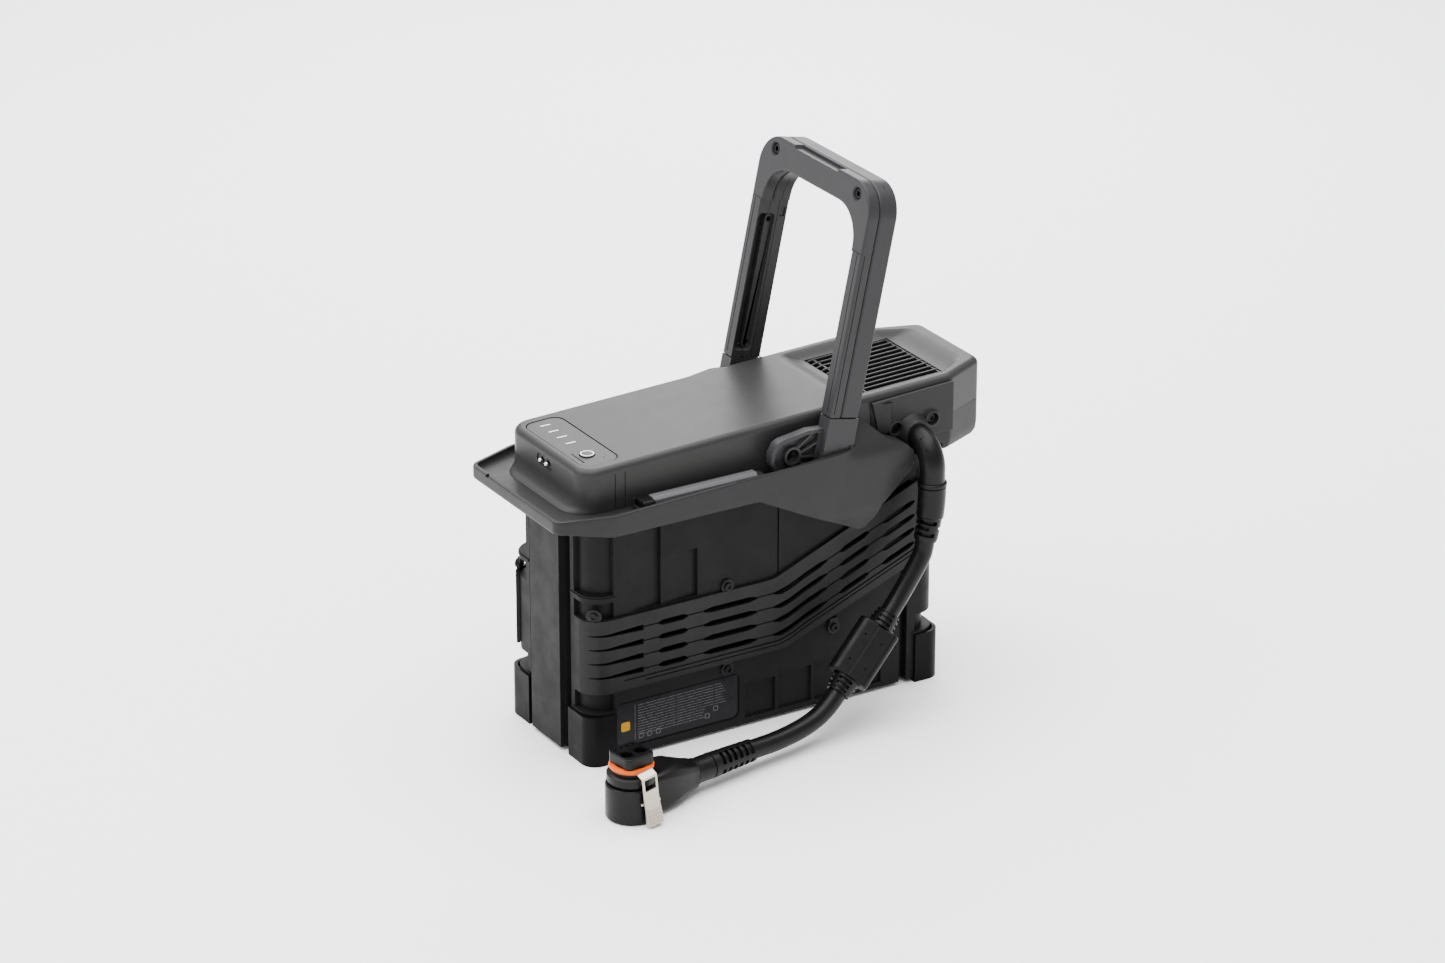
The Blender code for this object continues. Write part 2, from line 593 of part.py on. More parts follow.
def top_cover():
    base_z = FLOOR_Z + GAP
    half = COVER_HALF
    rear_half = COVER_REAR_HALF
    foot = [(x, y, base_z) for x, y in cover_outline(COVER_X - 0.006, half, rear_half, RIM_X, 0.014)]
    rings = [foot,
             cover_ring(base_z + 0.009, COVER_X - 0.003, half, rear_half, RIM_X, 0.013),
             cover_ring(COVER_TOP_Z - 0.005, COVER_X, half, rear_half, RIM_X, 0.012),
             cover_ring(COVER_TOP_Z - 0.0015, COVER_X + 0.0015, half - 0.0015, rear_half - 0.001,
                        RIM_X - 0.001, 0.012),
             cover_ring(COVER_TOP_Z, COVER_X + 0.005, half - 0.005, rear_half - 0.003, RIM_X - 0.004, 0.012)]
    body = add_object("top_cover", mesh_from_rings("top_cover", rings), COVER_PLASTIC)
    wall = COVER_WALL
    hollow_rings = [[(x, y, base_z - 0.01) for x, y in
                     cover_outline(COVER_X + wall, half - wall, rear_half - wall, RIM_X - wall, 0.012)],
                    cover_ring(COVER_TOP_Z - 0.0042, COVER_X + wall + 0.002, half - wall - 0.002,
                               rear_half - wall - 0.002, RIM_X - wall, 0.011)]
    hollow = add_object("cover_hollow", mesh_from_rings("cover_hollow", hollow_rings), COVER_PLASTIC)
    basin_top = cover_ring(COVER_TOP_Z + 0.001, GRILLE_FRONT_X - 0.008, COVER_HALF - 0.008,
                           COVER_REAR_HALF - 0.007, RIM_X - 0.010, 0.004)
    basin_low = cover_ring(GRILLE_Z, GRILLE_FRONT_X - GAP, GRILLE_HALF + GAP, GRILLE_HALF + GAP,
                           GRILLE_REAR_X + GAP, 0.0)
    solid_top = [(x, y, z + 0.012) for x, y, z in basin_top]
    basin = add_object("grille_basin", mesh_from_rings("grille_basin", [basin_low, basin_top, solid_top]),
                       COVER_PLASTIC)
    floor_rings = [cover_ring(z, GRILLE_FRONT_X - 0.020, COVER_HALF - 0.0018, COVER_REAR_HALF - 0.0015,
                              RIM_X - 0.0018, 0.008) for z in (GRILLE_Z - 0.0035, COVER_TOP_Z - 0.003)]
    deck = add_object("basin_deck", mesh_from_rings("basin_deck", floor_rings), COVER_PLASTIC)
    cut(body, hollow)
    join(body, deck)
    grille_hole = box("grille_hole", (GRILLE_FRONT_X - GAP, -GRILLE_HALF - GAP, GRILLE_Z - 0.02),
                      (GRILLE_REAR_X + GAP, GRILLE_HALF + GAP, GRILLE_Z + 0.02), COVER_PLASTIC, rise=True)
    panel_seat = plan_prism("panel_seat",
                            rounded(rectangle(PANEL_X0 - GAP, PANEL_X1 + GAP, PANEL_WIDTH / 2 + GAP),
                                    0.009),
                            COVER_TOP_Z - PANEL_THICK - GAP, COVER_TOP_Z + 0.01, COVER_PLASTIC, rise=True)
    panel_hole = plan_prism("panel_hole",
                            rounded(rectangle(PANEL_X0 + 0.004, PANEL_X1 - 0.004,
                                              PANEL_WIDTH / 2 - 0.004), 0.006),
                            COVER_TOP_Z - 0.02, COVER_TOP_Z + 0.01, COVER_PLASTIC, rise=True)
    rear_step = box("rear_step", (REAR_X + 0.0027, -0.12, 0.15),
                    (RIM_X + 0.02, 0.12, REAR_BLOCK_TOP_Z + GAP),
                    COVER_PLASTIC)
    contact_hole = box("contact_hole", (COVER_X - 0.02, -CONTACT_HALF - GAP, CONTACT_Z - 0.004 - GAP),
                       (COVER_X + 0.012, CONTACT_HALF + GAP, CONTACT_Z + 0.004 + GAP), COVER_PLASTIC)
    lead_hole = turned("lead_hole", [(ELBOW_RADIUS - 0.001, -0.02), (ELBOW_RADIUS - 0.001, 0.02)],
                       COVER_PLASTIC, (LEAD_X, -COVER_HALF, LEAD_Z), (0, -1, 0))
    cut(body, basin, grille_hole, panel_seat, panel_hole, rear_step, contact_hole, lead_hole)


top_cover()


def vent_grille():
    body = plan_prism("vent_grille", rectangle(GRILLE_FRONT_X, GRILLE_REAR_X, GRILLE_HALF),
                      GRILLE_Z - GRILLE_THICK, GRILLE_Z, BLACK_PLASTIC, rise=True)
    margin = 0.0025
    pitch = (2 * GRILLE_HALF - 2 * margin) / SLOT_COUNT
    for row in range(SLOT_COUNT):
        mid = -GRILLE_HALF + margin + pitch * (row + 0.5)
        slot = box("grille_slot_%d" % row, (GRILLE_FRONT_X + 0.003, mid - pitch * 0.31, GRILLE_Z - 0.02),
                   (GRILLE_REAR_X - 0.003, mid + pitch * 0.31, GRILLE_Z + 0.02), BLACK_PLASTIC, rise=True)
        cut(body, slot)


vent_grille()

BUTTON_X = (PANEL_X0 + PANEL_X1) / 2 - 0.002
BUTTON_BASE_Z = COVER_TOP_Z - 0.009


def control_panel():
    glass = plan_prism("control_panel", rounded(rectangle(PANEL_X0, PANEL_X1, PANEL_WIDTH / 2), 0.009),
                       COVER_TOP_Z - PANEL_THICK, COVER_TOP_Z - 0.0001, GLOSS_PANEL, rise=True)
    bore = turned("button_bore", [(BUTTON_RADIUS + 2 * GAP, -0.02), (BUTTON_RADIUS + 2 * GAP, 0.02)],
                  GLOSS_PANEL, (BUTTON_X, BUTTON_Y, COVER_TOP_Z))
    cut(glass, bore)
    top = COVER_TOP_Z + RISE * (BUTTON_X - FRONT_X) + BUTTON_PROUD
    height = top - BUTTON_BASE_Z
    turned("power_button",
           [(BUTTON_RADIUS + 0.0012, 0.0), (BUTTON_RADIUS + 0.0012, 0.0015), (BUTTON_RADIUS, 0.0018),
            (BUTTON_RADIUS, height - 0.0004), (BUTTON_RADIUS - 0.0006, height)],
           WHITE_LIGHT, (BUTTON_X, BUTTON_Y, BUTTON_BASE_Z))
    guide_top = COVER_TOP_Z - PANEL_THICK - GAP
    box("light_guide", (BUTTON_X - 0.006, -0.008, guide_top - 0.0015),
        (BUTTON_X + 0.006, PANEL_WIDTH / 2 - 0.006, guide_top), WHITE_LIGHT, rise=True)
    board_top = BUTTON_BASE_Z - BUTTON_TRAVEL - 2 * GAP
    plan_prism("panel_board", rectangle(PANEL_X0 + 0.0045, PANEL_X1 - 0.0045, PANEL_WIDTH / 2 - 0.005),
               board_top - BOARD_THICK, board_top, BOARD_GREEN)


control_panel()

box("contact_block", (COVER_X + 0.0002, -CONTACT_HALF, CONTACT_Z - 0.004),
    (COVER_X + CONTACT_DEPTH, CONTACT_HALF, CONTACT_Z + 0.004), BLACK_PLASTIC)
for number, across in enumerate((-0.0048, 0.0048), 1):
    turned("contact_pin_%d" % number, [(0.0014, 0.0), (0.0014, 0.0016), (0.0009, 0.0022)], STEEL,
           (COVER_X + 0.0002 - GAP, across, CONTACT_Z), (-1, 0, 0), 12)


# ---------------------------------------------------------------- inside the tub

CELL_BASE_Z = TUB_BASE_Z + TUB_WALL + GAP

cell_half = TUB_HALF - 0.014
cell_mid = (FRONT_X + REAR_X) / 2
box("cell_module_front", (FRONT_X + 0.016, -cell_half, CELL_BASE_Z),
    (cell_mid - CELL_GAP / 2, cell_half, CELL_TOP_Z),
    CELL_WRAP)
box("cell_module_rear", (cell_mid + CELL_GAP / 2, -cell_half, CELL_BASE_Z),
    (REAR_X - 0.016, cell_half, CELL_TOP_Z),
    CELL_WRAP)
box("link_busbar", (cell_mid - 0.022, -0.012, CELL_TOP_Z + GAP),
    (cell_mid + 0.022, 0.012, CELL_TOP_Z + 0.0025),
    STEEL)
box("battery_board", (FRONT_X + 0.024, -cell_half + 0.006, CELL_TOP_Z + 0.008),
    (cell_mid + 0.020, cell_half - 0.006, CELL_TOP_Z + 0.0098), BOARD_GREEN)
box("main_fuse", (cell_mid + 0.045, 0.010, CELL_TOP_Z + GAP), (cell_mid + 0.085, 0.028, CELL_TOP_Z + 0.018),
    BLACK_PLASTIC)

FAN_X = REAR_X - FAN_FROM_REAR
FAN_LOW_Z = COVER_TOP_Z - 0.034


def fan():
    size = FAN_RADIUS + 0.0035
    frame = plan_prism("fan_frame", [(FAN_X + x, y) for x, y in rounded(
        [(-size, -size), (size, -size), (size, size), (-size, size)], 0.004, 2)],
        FAN_LOW_Z, FAN_LOW_Z + FAN_HEIGHT, BLACK_PLASTIC)
    bore = turned("fan_bore", [(FAN_RADIUS, FAN_LOW_Z + 0.002), (FAN_RADIUS, FAN_LOW_Z + 0.03)],
                  BLACK_PLASTIC, (FAN_X, 0, 0), sides=32)
    windows = []
    for turn in range(4):
        angle = math.pi / 4 + turn * math.pi / 2
        away = 0.0175
        windows.append(turned("fan_window_%d" % turn,
                              [(0.0095, FAN_LOW_Z - 0.01), (0.0095, FAN_LOW_Z + 0.01)],
                              BLACK_PLASTIC,
                              (FAN_X + away * math.cos(angle), away * math.sin(angle), 0), sides=16))
    cut(frame, bore, *windows)
    hub = turned("fan_rotor", [(0.010, 0.0), (0.010, FAN_HEIGHT - 0.005)], BLACK_PLASTIC,
                 (FAN_X, 0, FAN_LOW_Z + 0.0035), sides=24)
    blades = []
    for number in range(7):
        blade = box("fan_blade_%d" % number, (0.008, -0.0006, -0.0055),
                    (FAN_RADIUS - 0.0015, 0.0006, 0.0055),
                    BLACK_PLASTIC)
        tilt = Matrix.Rotation(math.radians(35), 4, "X")
        spin = Matrix.Rotation(2 * math.pi * number / 7, 4, "Z")
        lift = Matrix.Translation((FAN_X, 0, FAN_LOW_Z + 0.0035 + (FAN_HEIGHT - 0.005) / 2))
        blade.data.transform(lift @ spin @ tilt)
        blades.append(blade)
    join(hub, *blades)


fan()


# ---------------------------------------------------------------- output lead

def tube(name, points, diameter, mat, sides=3):
    """A round tube on a curve with filled caps."""
    curve = bpy.data.curves.new(name, "CURVE")
    curve.dimensions = "3D"
    curve.bevel_depth = diameter / 2
    curve.bevel_resolution = sides
    curve.use_fill_caps = True
    spline = curve.splines.new("POLY")
    spline.points.add(len(points) - 1)
    for point, place in zip(spline.points, points):
        point.co = (*place, 1.0)
    curve.materials.append(mat)
    obj = bpy.data.objects.new(name, curve)
    bpy.context.collection.objects.link(obj)
    return obj


def smooth_curve(points, per_span=4):
    """Points read from a Catmull-Rom curve through the route."""
    route = [2 * points[0] - points[1]] + points + [2 * points[-1] - points[-2]]
    out = []
    for a, b, c, d in zip(route, route[1:], route[2:], route[3:]):
        for k in range(per_span):
            t = k / per_span
            out.append(0.5 * (2 * b + (c - a) * t + (2 * a - 5 * b + 4 * c - d) * t ** 2
                              + (3 * b - a - 3 * c + d) * t ** 3))
    out.append(points[-1])
    return out


def frame_of(direction, hint):
    """Rotation whose Z is the direction and whose X lies nearest to the hint."""
    z = direction.normalized()
    x = (hint - z * hint.dot(z)).normalized()
    return Matrix((x, z.cross(x), z)).transposed()


LEAD = [Vector((LEAD_X + x, LEAD_Y + y, z)) for x, y, z in LEAD_ROUTE]
FERRITE_START = LEAD[6]
FERRITE_END = LEAD[7]
FERRITE_AXIS = (FERRITE_END - FERRITE_START).normalized()
FERRITE_MID = (FERRITE_START + FERRITE_END) / 2
PLUG_DIRECTION = Vector((math.cos(PLUG_LEAD_ANGLE), math.sin(PLUG_LEAD_ANGLE), 0.0))
PLUG_EXIT = PLUG_CENTRE + PLUG_DIRECTION * PLUG_LEAD_LENGTH + Vector((0, 0, PLUG_LEAD_Z))


def placed(obj, rotation, place):
    obj.data.transform(rotation.to_4x4())
    obj.data.transform(Matrix.Translation(place))


def cable_bracket():
    front_x = LEAD_X - 0.033
    rear_x = RIM_X - COVER_REAR_CHAMFER + 0.006
    inner = -(COVER_HALF + GAP)
    outline = [(front_x, FLOOR_Z + GAP), (rear_x - 0.006, FLOOR_Z + GAP),
               (rear_x - 0.006, COVER_TOP_Z - 0.003),
               (front_x, COVER_TOP_Z - 0.0055)]
    plate = side_prism("cable_bracket", outline, inner - BRACKET_THICK, inner, FRAME_PLASTIC)
    throat = turned("bracket_throat", [(ELBOW_RADIUS + GAP, -0.02), (ELBOW_RADIUS + GAP, 0.02)],
                    FRAME_PLASTIC,
                    (LEAD_X, inner, LEAD_Z), (0, -1, 0))
    cut(plate, throat)
    for number, along in enumerate((-BRACKET_SCREW_X, BRACKET_SCREW_X), 1):
        centre = (LEAD_X + along, inner, BRACKET_SCREW_Z + RISE * along)
        seat = turned("bracket_seat_%d" % number, [(0.0044, BRACKET_THICK - 0.0023), (0.0044, 0.02)],
                      FRAME_PLASTIC, centre, (0, -1, 0), 16)
        cut(plate, seat)
        turned("bracket_screw_%d" % number,
               [(0.0040, BRACKET_THICK - 0.0020), (0.0040, BRACKET_THICK - 0.0004),
                (0.0034, BRACKET_THICK)],
               DARK_STEEL, centre, (0, -1, 0), 16)


def elbow():
    start = Vector((LEAD_X, -(COVER_HALF + 2 * GAP), LEAD_Z))
    corner = Vector((LEAD_X, LEAD_Y, LEAD_Z))
    bend = 0.018
    points = [start, corner + Vector((0, bend, 0))]
    for k in range(1, 8):
        t = k / 8
        a = corner + Vector((0, bend, 0))
        c = corner + Vector((0, 0, -bend))
        points.append(a * (1 - t) ** 2 + corner * 2 * t * (1 - t) + c * t ** 2)
    points.append(corner + Vector((0, 0, -bend)))
    points.append(Vector((LEAD_X, LEAD_Y, COLLAR_TOP_Z + GAP)))
    tube("cable_elbow", points, ELBOW_RADIUS * 2, RUBBER, 4)


def lead_points():
    straight = [FERRITE_START.lerp(FERRITE_END, k / 4) for k in range(5)]
    tail = LEAD[7:] + [PLUG_EXIT + PLUG_DIRECTION * 0.010, PLUG_EXIT + PLUG_DIRECTION * GAP]
    return smooth_curve(LEAD[:7], 2)[:-1] + straight + smooth_curve(tail, 2)[1:]


def collar():
    """The stiff collar and its tapering sleeve, which lean over to meet the lead squarely."""
    points = lead_points()
    lead_way = (points[1] - points[0]).normalized()
    top = Vector((LEAD_X, LEAD_Y, COLLAR_TOP_Z))
    end = points[0] - lead_way * GAP
    handle_a = top + Vector((0, 0, -(top.z - end.z) * 0.5))
    handle_b = end - lead_way * (top.z - end.z) * 0.35
    rings = []
    for t, radius in ((0.0, COLLAR_RADIUS), (0.08, COLLAR_RADIUS + 0.0006), (0.14, COLLAR_RADIUS),
                      (0.52, COLLAR_RADIUS - 0.0006), (0.56, COLLAR_RADIUS - 0.0018),
                      (0.78, COLLAR_RADIUS - 0.0022),
                      (0.97, CABLE_DIAMETER / 2 + 0.0012), (1.0, CABLE_DIAMETER / 2 + 0.0004)):
        s = 1 - t
        place = top * s ** 3 + handle_a * 3 * s * s * t + handle_b * 3 * s * t * t + end * t ** 3
        way = ((handle_a - top) * s * s + (handle_b - handle_a) * 2 * s * t + (end - handle_b) * t * t)
        turn = frame_of(way, Vector((1, 0, 0)))
        ring = []
        for k in range(24):
            angle = 2 * math.pi * k / 24
            ring.append(place + turn @ Vector((radius * math.cos(angle), radius * math.sin(angle), 0)))
        rings.append(ring)
    smooth(add_object("cable_collar", mesh_from_rings("cable_collar", rings), RUBBER))


def ferrite():
    rotation = frame_of(FERRITE_AXIS, Vector((0.634, -0.625, -0.468)))
    half_l = FERRITE_LENGTH / 2
    half_w = FERRITE_WIDTH / 2
    half_t = FERRITE_THICK / 2
    outline = rounded([(-half_w, -half_t), (half_w, -half_t), (half_w, half_t), (-half_w, half_t)], 0.008,
                      3)
    core = plan_prism("ferrite_core", outline, -half_l, half_l, BLACK_PLASTIC)
    bevel(core, 0.0012, 60)
    bore = turned("ferrite_bore", [(CABLE_DIAMETER / 2 + GAP, -0.05), (CABLE_DIAMETER / 2 + GAP, 0.05)],
                  BLACK_PLASTIC)
    cut(core, bore)
    placed(core, rotation, FERRITE_MID)
    placed(bore, rotation, FERRITE_MID)
    for end, name in ((-1, "upper"), (1, "lower")):
        near = half_l + GAP
        boot = turned("ferrite_boot_" + name,
                      [(CABLE_DIAMETER / 2 + 0.0040, near), (CABLE_DIAMETER / 2 + 0.0036, near + 0.004),
                       (CABLE_DIAMETER / 2 + 0.0016, near + BOOT_LENGTH)], RUBBER)
        hole = turned("boot_bore_" + name, [(CABLE_DIAMETER / 2 + GAP, 0.0),
                                            (CABLE_DIAMETER / 2 + GAP, 0.08)],
                      RUBBER)
        cut(boot, hole)
        turn = rotation if end > 0 else rotation @ Matrix.Rotation(math.pi, 3, "X")
        placed(boot, turn, FERRITE_MID)
        placed(hole, turn, FERRITE_MID)


cable_bracket()
elbow()
collar()
tube("output_cable", lead_points(), CABLE_DIAMETER, RUBBER, 3)
ferrite()


# ---------------------------------------------------------------- plug

def plug():
    body = turned("plug_body",
                  [(PLUG_RADIUS - 0.0015, 0.0), (PLUG_RADIUS, 0.0015), (PLUG_RADIUS, 0.022),
                   (PLUG_RADIUS - 0.0012, 0.0225),
                   (PLUG_RADIUS - 0.0012, 0.0385), (PLUG_RADIUS - 0.0042, 0.0405),
                   (PLUG_RADIUS - 0.0042, SEAL_Z - GAP)], BLACK_PLASTIC, PLUG_CENTRE, sides=32)
    turn = frame_of(PLUG_DIRECTION, Vector((0, 0, 1)))
    shell = turned("backshell", [(0.0160, 0.010), (0.0168, 0.024), (0.0142, 0.040), (0.0110, 0.054),
                                 (0.0105, BACKSHELL_LENGTH)], BLACK_PLASTIC, sides=24)
    placed(shell, turn, PLUG_CENTRE + Vector((0, 0, PLUG_LEAD_Z)))
    join(body, shell)


def plug_head():
    head = turned("plug_head", [(PLUG_HEAD_RADIUS - 0.0030, SEAL_Z),
                                (PLUG_HEAD_RADIUS - 0.0030, SEAL_Z + SEAL_THICK),
                                (PLUG_HEAD_RADIUS, SEAL_Z + SEAL_THICK + GAP),
                                (PLUG_HEAD_RADIUS, PLUG_TOP_Z - 0.0012),
                                (PLUG_HEAD_RADIUS - 0.0012, PLUG_TOP_Z)],
                  BLACK_PLASTIC, PLUG_CENTRE, sides=32)
    turn = Matrix.Rotation(PLUG_LEAD_ANGLE, 3, "Z")
    for number, (x, y, radius) in enumerate(((0.0, -0.0078, 0.0045), (0.0, 0.0078, 0.0045),
                                             (0.0085, 0.0, 0.0014),
                                             (-0.0085, 0.0, 0.0014), (-0.0105, 0.0045, 0.0014))):
        place = turn @ Vector((x, y, 0.0)) + PLUG_CENTRE
        socket = turned("socket_%d" % number, [(radius, PLUG_TOP_Z - 0.0085), (radius, PLUG_TOP_Z + 0.01)],
                        BLACK_PLASTIC, place, sides=16)
        cut(head, socket)
    for number, y in enumerate((-0.0078, 0.0078), 1):
        place = turn @ Vector((0.0, y, 0.0)) + PLUG_CENTRE
        turned("power_contact_%d" % number, [(0.0018, PLUG_TOP_Z - 0.0085 + GAP),
                                             (0.0018, PLUG_TOP_Z - 0.0025)],
               STEEL, place, sides=12)
    seal = turned("plug_seal", [(PLUG_HEAD_RADIUS + 0.0010, SEAL_Z + GAP),
                                (PLUG_HEAD_RADIUS + 0.0019, SEAL_Z + 0.0012),
                                (PLUG_HEAD_RADIUS + 0.0019, SEAL_Z + SEAL_THICK - 0.0012),
                                (PLUG_HEAD_RADIUS + 0.0010, SEAL_Z + SEAL_THICK - GAP)], ORANGE_SEAL,
                                PLUG_CENTRE,
                  sides=32)
    hole = turned("seal_hole", [(PLUG_HEAD_RADIUS - 0.0030 + GAP, 0.0),
                                (PLUG_HEAD_RADIUS - 0.0030 + GAP, 0.1)],
                  ORANGE_SEAL, PLUG_CENTRE, sides=32)
    cut(seal, hole)


def plug_grommet():
    start = BACKSHELL_LENGTH + GAP
    span = PLUG_LEAD_LENGTH - start
    profile = [(0.0100, start)]
    ribs = 6
    for rib in range(ribs):
        low = start + span * (rib + 0.10) / ribs
        high = start + span * (rib + 0.72) / ribs
        radius = 0.0106 - 0.0004 * rib
        profile += [(radius, low), (radius, high), (0.0088, high + 0.0003),
                    (0.0088, high + span * 0.2 / ribs)]
    profile.append((0.0088, PLUG_LEAD_LENGTH))
    grommet = turned("plug_grommet", profile, RUBBER, sides=20)
    placed(grommet, frame_of(PLUG_DIRECTION, Vector((0, 0, 1))), PLUG_CENTRE + Vector((0, 0, PLUG_LEAD_Z)))


def plug_latch():
    """A flat lever that stands beside the plug on a short pin and hooks over the seal."""
    out = PLUG_RADIUS + LATCH_CLEAR
    half = LATCH_WIDTH / 2
    turn = Matrix.Rotation(LATCH_ANGLE, 3, "Z")
    lever = side_prism("plug_latch", [(0.0, -0.0185), (0.0016, -0.0190), (0.0058, -0.0178),
                                      (0.0030, -0.0060),
                                      (0.0020, 0.0060), (0.0020, 0.0235), (-0.0030, 0.0262),
                                      (-0.0048, 0.0262),
                                      (-0.0048, 0.0250), (0.0004, 0.0225), (0.0004, -0.0040)],
                       -half, half, STEEL)
    window = box("latch_window", (-0.01, -half + 0.0028, 0.0065), (0.01, half - 0.0028, 0.0205), STEEL)
    knuckle = turned("latch_knuckle", [(0.0026, -half), (0.0026, half)], STEEL, direction=(0, 1, 0),
                     sides=16)
    knuckle_bore = turned("latch_bore", [(LATCH_PIN + GAP, -0.02), (LATCH_PIN + GAP, 0.02)], STEEL,
                          direction=(0, 1, 0), sides=12)
    join(lever, knuckle)
    cut(lever, window, knuckle_bore)
    pin_half = half + GAP + 0.0018
    pin = turned("latch_pin", [(LATCH_PIN, -pin_half), (LATCH_PIN, pin_half)], STEEL, direction=(0, 1, 0),
                 sides=12)
    hinge = bpy.data.objects.new("latch_hinge", None)
    bpy.context.collection.objects.link(hinge)
    hinge.location = PLUG_CENTRE + turn @ Vector((out, 0, LATCH_PIVOT_Z))
    hinge.rotation_euler = (0, 0, LATCH_ANGLE)
    lever.parent = hinge
    for helper in (window, knuckle, knuckle_bore):
        helper.parent = hinge
    axis_place = Matrix.Translation(hinge.location) @ Matrix.Rotation(LATCH_ANGLE, 4, "Z")
    pin.data.transform(axis_place)
    for side, name in ((-1, "left"), (1, "right")):
        ear = side_prism("latch_ear_" + name, [(-0.0070, -0.0035), (0.0008, -0.0035), (0.0035, -0.0010),
                                               (0.0035, 0.0025),
                                               (0.0008, 0.0035), (-0.0070, 0.0035)],
                         *sorted((side * (half + GAP), side * (half + 0.0022))), BLACK_PLASTIC)
        ear.data.transform(axis_place)
        join(bpy.data.objects["plug_body"], ear)
    pin_seat = turned("pin_seat", [(LATCH_PIN + GAP, -pin_half - GAP), (LATCH_PIN + GAP, pin_half + GAP)],
                      BLACK_PLASTIC, direction=(0, 1, 0), sides=12)
    pin_seat.data.transform(axis_place)
    cut(bpy.data.objects["plug_body"], pin_seat)


plug()
plug_head()
plug_grommet()
plug_latch()


# ---------------------------------------------------------------- handle

def handle_loop(outer, inner, top, low, outer_radius, inner_radius):
    """The U of the grip and legs, as pairs of (y, z) listed round."""
    outside = [(outer, low)] + corner((outer, top), outer_radius,
                                      1) + corner((-outer, top), outer_radius, -1)
    outside.append((-outer, low))
    in_top = top - GRIP_HEIGHT
    inside = [(-inner, low)] + corner((-inner, in_top), inner_radius, -1, True)
    inside += corner((inner, in_top), inner_radius, 1, True) + [(inner, low)]
    return outside + inside


def corner(place, radius, side, inward=False):
    """Arc points at the upper corner on the given side, outside running over the top from +Y to -Y."""
    centre = Vector((place[0] - side * radius, place[1] - radius))
    arc = []
    for k in range(7):
        angle = math.radians(90 * k / 6)
        arc.append((centre.x + side * radius * math.cos(angle), centre.y + radius * math.sin(angle)))
    if (side > 0) == inward:
        arc.reverse()
    return arc


def handle_shell(name, low_x, high_x):
    loop = handle_loop(LEG_OUTER, LEG_INNER, GRIP_TOP, ARM_TOP + GAP, OUTER_CORNER, INNER_CORNER)
    rings = [[(x, y, z) for y, z in loop] for x in (low_x, high_x)]
    return bevel(add_object(name, mesh_from_rings(name, rings), HANDLE_PLASTIC), 0.0012, 60)


def handle():
    hinge = bpy.data.objects.new("handle_hinge", None)
    bpy.context.collection.objects.link(hinge)
    hinge.location = (PIVOT_X, 0, PIVOT_Z)
    hinge.rotation_euler = (0, LEAN, 0)
    split = LEG_FRONT + SHELL_SPLIT
    front = handle_shell("handle_front_shell", LEG_FRONT, split - GAP / 2)
    rear = handle_shell("handle_rear_shell", split + GAP / 2, LEG_FRONT + LEG_DEPTH)
    made = [front, rear]
    for side, side_name in ((-1, "left"), (1, "right")):
        seat = turned("bolt_seat_" + side_name, [(0.0046, -0.001), (0.0046, 0.0046)], HANDLE_PLASTIC,
                      (LEG_FRONT, side * BOLT_Y, BOLT_Z), (1, 0, 0), 16)
        cut(front, seat)
        bolt = turned("handle_bolt_" + side_name, [(0.0042, 0.0), (0.0042, 0.0030), (0.0036, 0.0036)],
                      DARK_STEEL,
                      (LEG_FRONT + 0.0046 - GAP, side * BOLT_Y, BOLT_Z), (-1, 0, 0), 16)
        ys = sorted((side * (LEG_INNER + LOBE_CLEAR), side * LEG_OUTER))
        foot = side_prism("handle_arm_" + side_name,
                          [(LEG_FRONT, -0.0140), (0.014, -0.0135), (0.024, -0.0080),
                           (LEG_FRONT + LEG_DEPTH, 0.004),
                           (LEG_FRONT + LEG_DEPTH, ARM_TOP), (LEG_FRONT, ARM_TOP)],
                          ys[0], ys[1], HANDLE_PLASTIC)
        ys = sorted((side * (LEG_INNER + LOBE_CLEAR), side * (LEG_INNER + LOBE_CLEAR + LOBE_THICK)))
        lobe = side_prism("lobe_" + side_name,
                          [(-0.034, -0.009), (-0.010, -0.0140), (0.010, -0.0138), (0.010, 0.031),
                           (-0.011, 0.0285),
                           (-0.0360, 0.0195), (-0.0400, 0.0160), (-0.0425, 0.0080), (-0.0415, 0.0)],
                          ys[0], ys[1], HANDLE_PLASTIC)
        join(foot, lobe)
        eye = turned("lobe_eye_" + side_name, [(0.0058, -0.03), (0.0058, 0.03)], HANDLE_PLASTIC,
                     (-0.0215, side * LEG_OUTER, 0.0065), (0, side, 0), 20)
        bore = turned("arm_bore_" + side_name, [(PIN_RADIUS + GAP, -0.03), (PIN_RADIUS + GAP, 0.03)],
                      HANDLE_PLASTIC, (0, side * LEG_OUTER, 0), (0, side, 0), 20)
        cut(foot, eye, bore)
        made += [seat, bolt, foot, lobe, eye, bore]
    for obj in made:
        obj.parent = hinge


handle()
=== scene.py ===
import json
import math

import bmesh
import bpy
from mathutils import Matrix, Vector

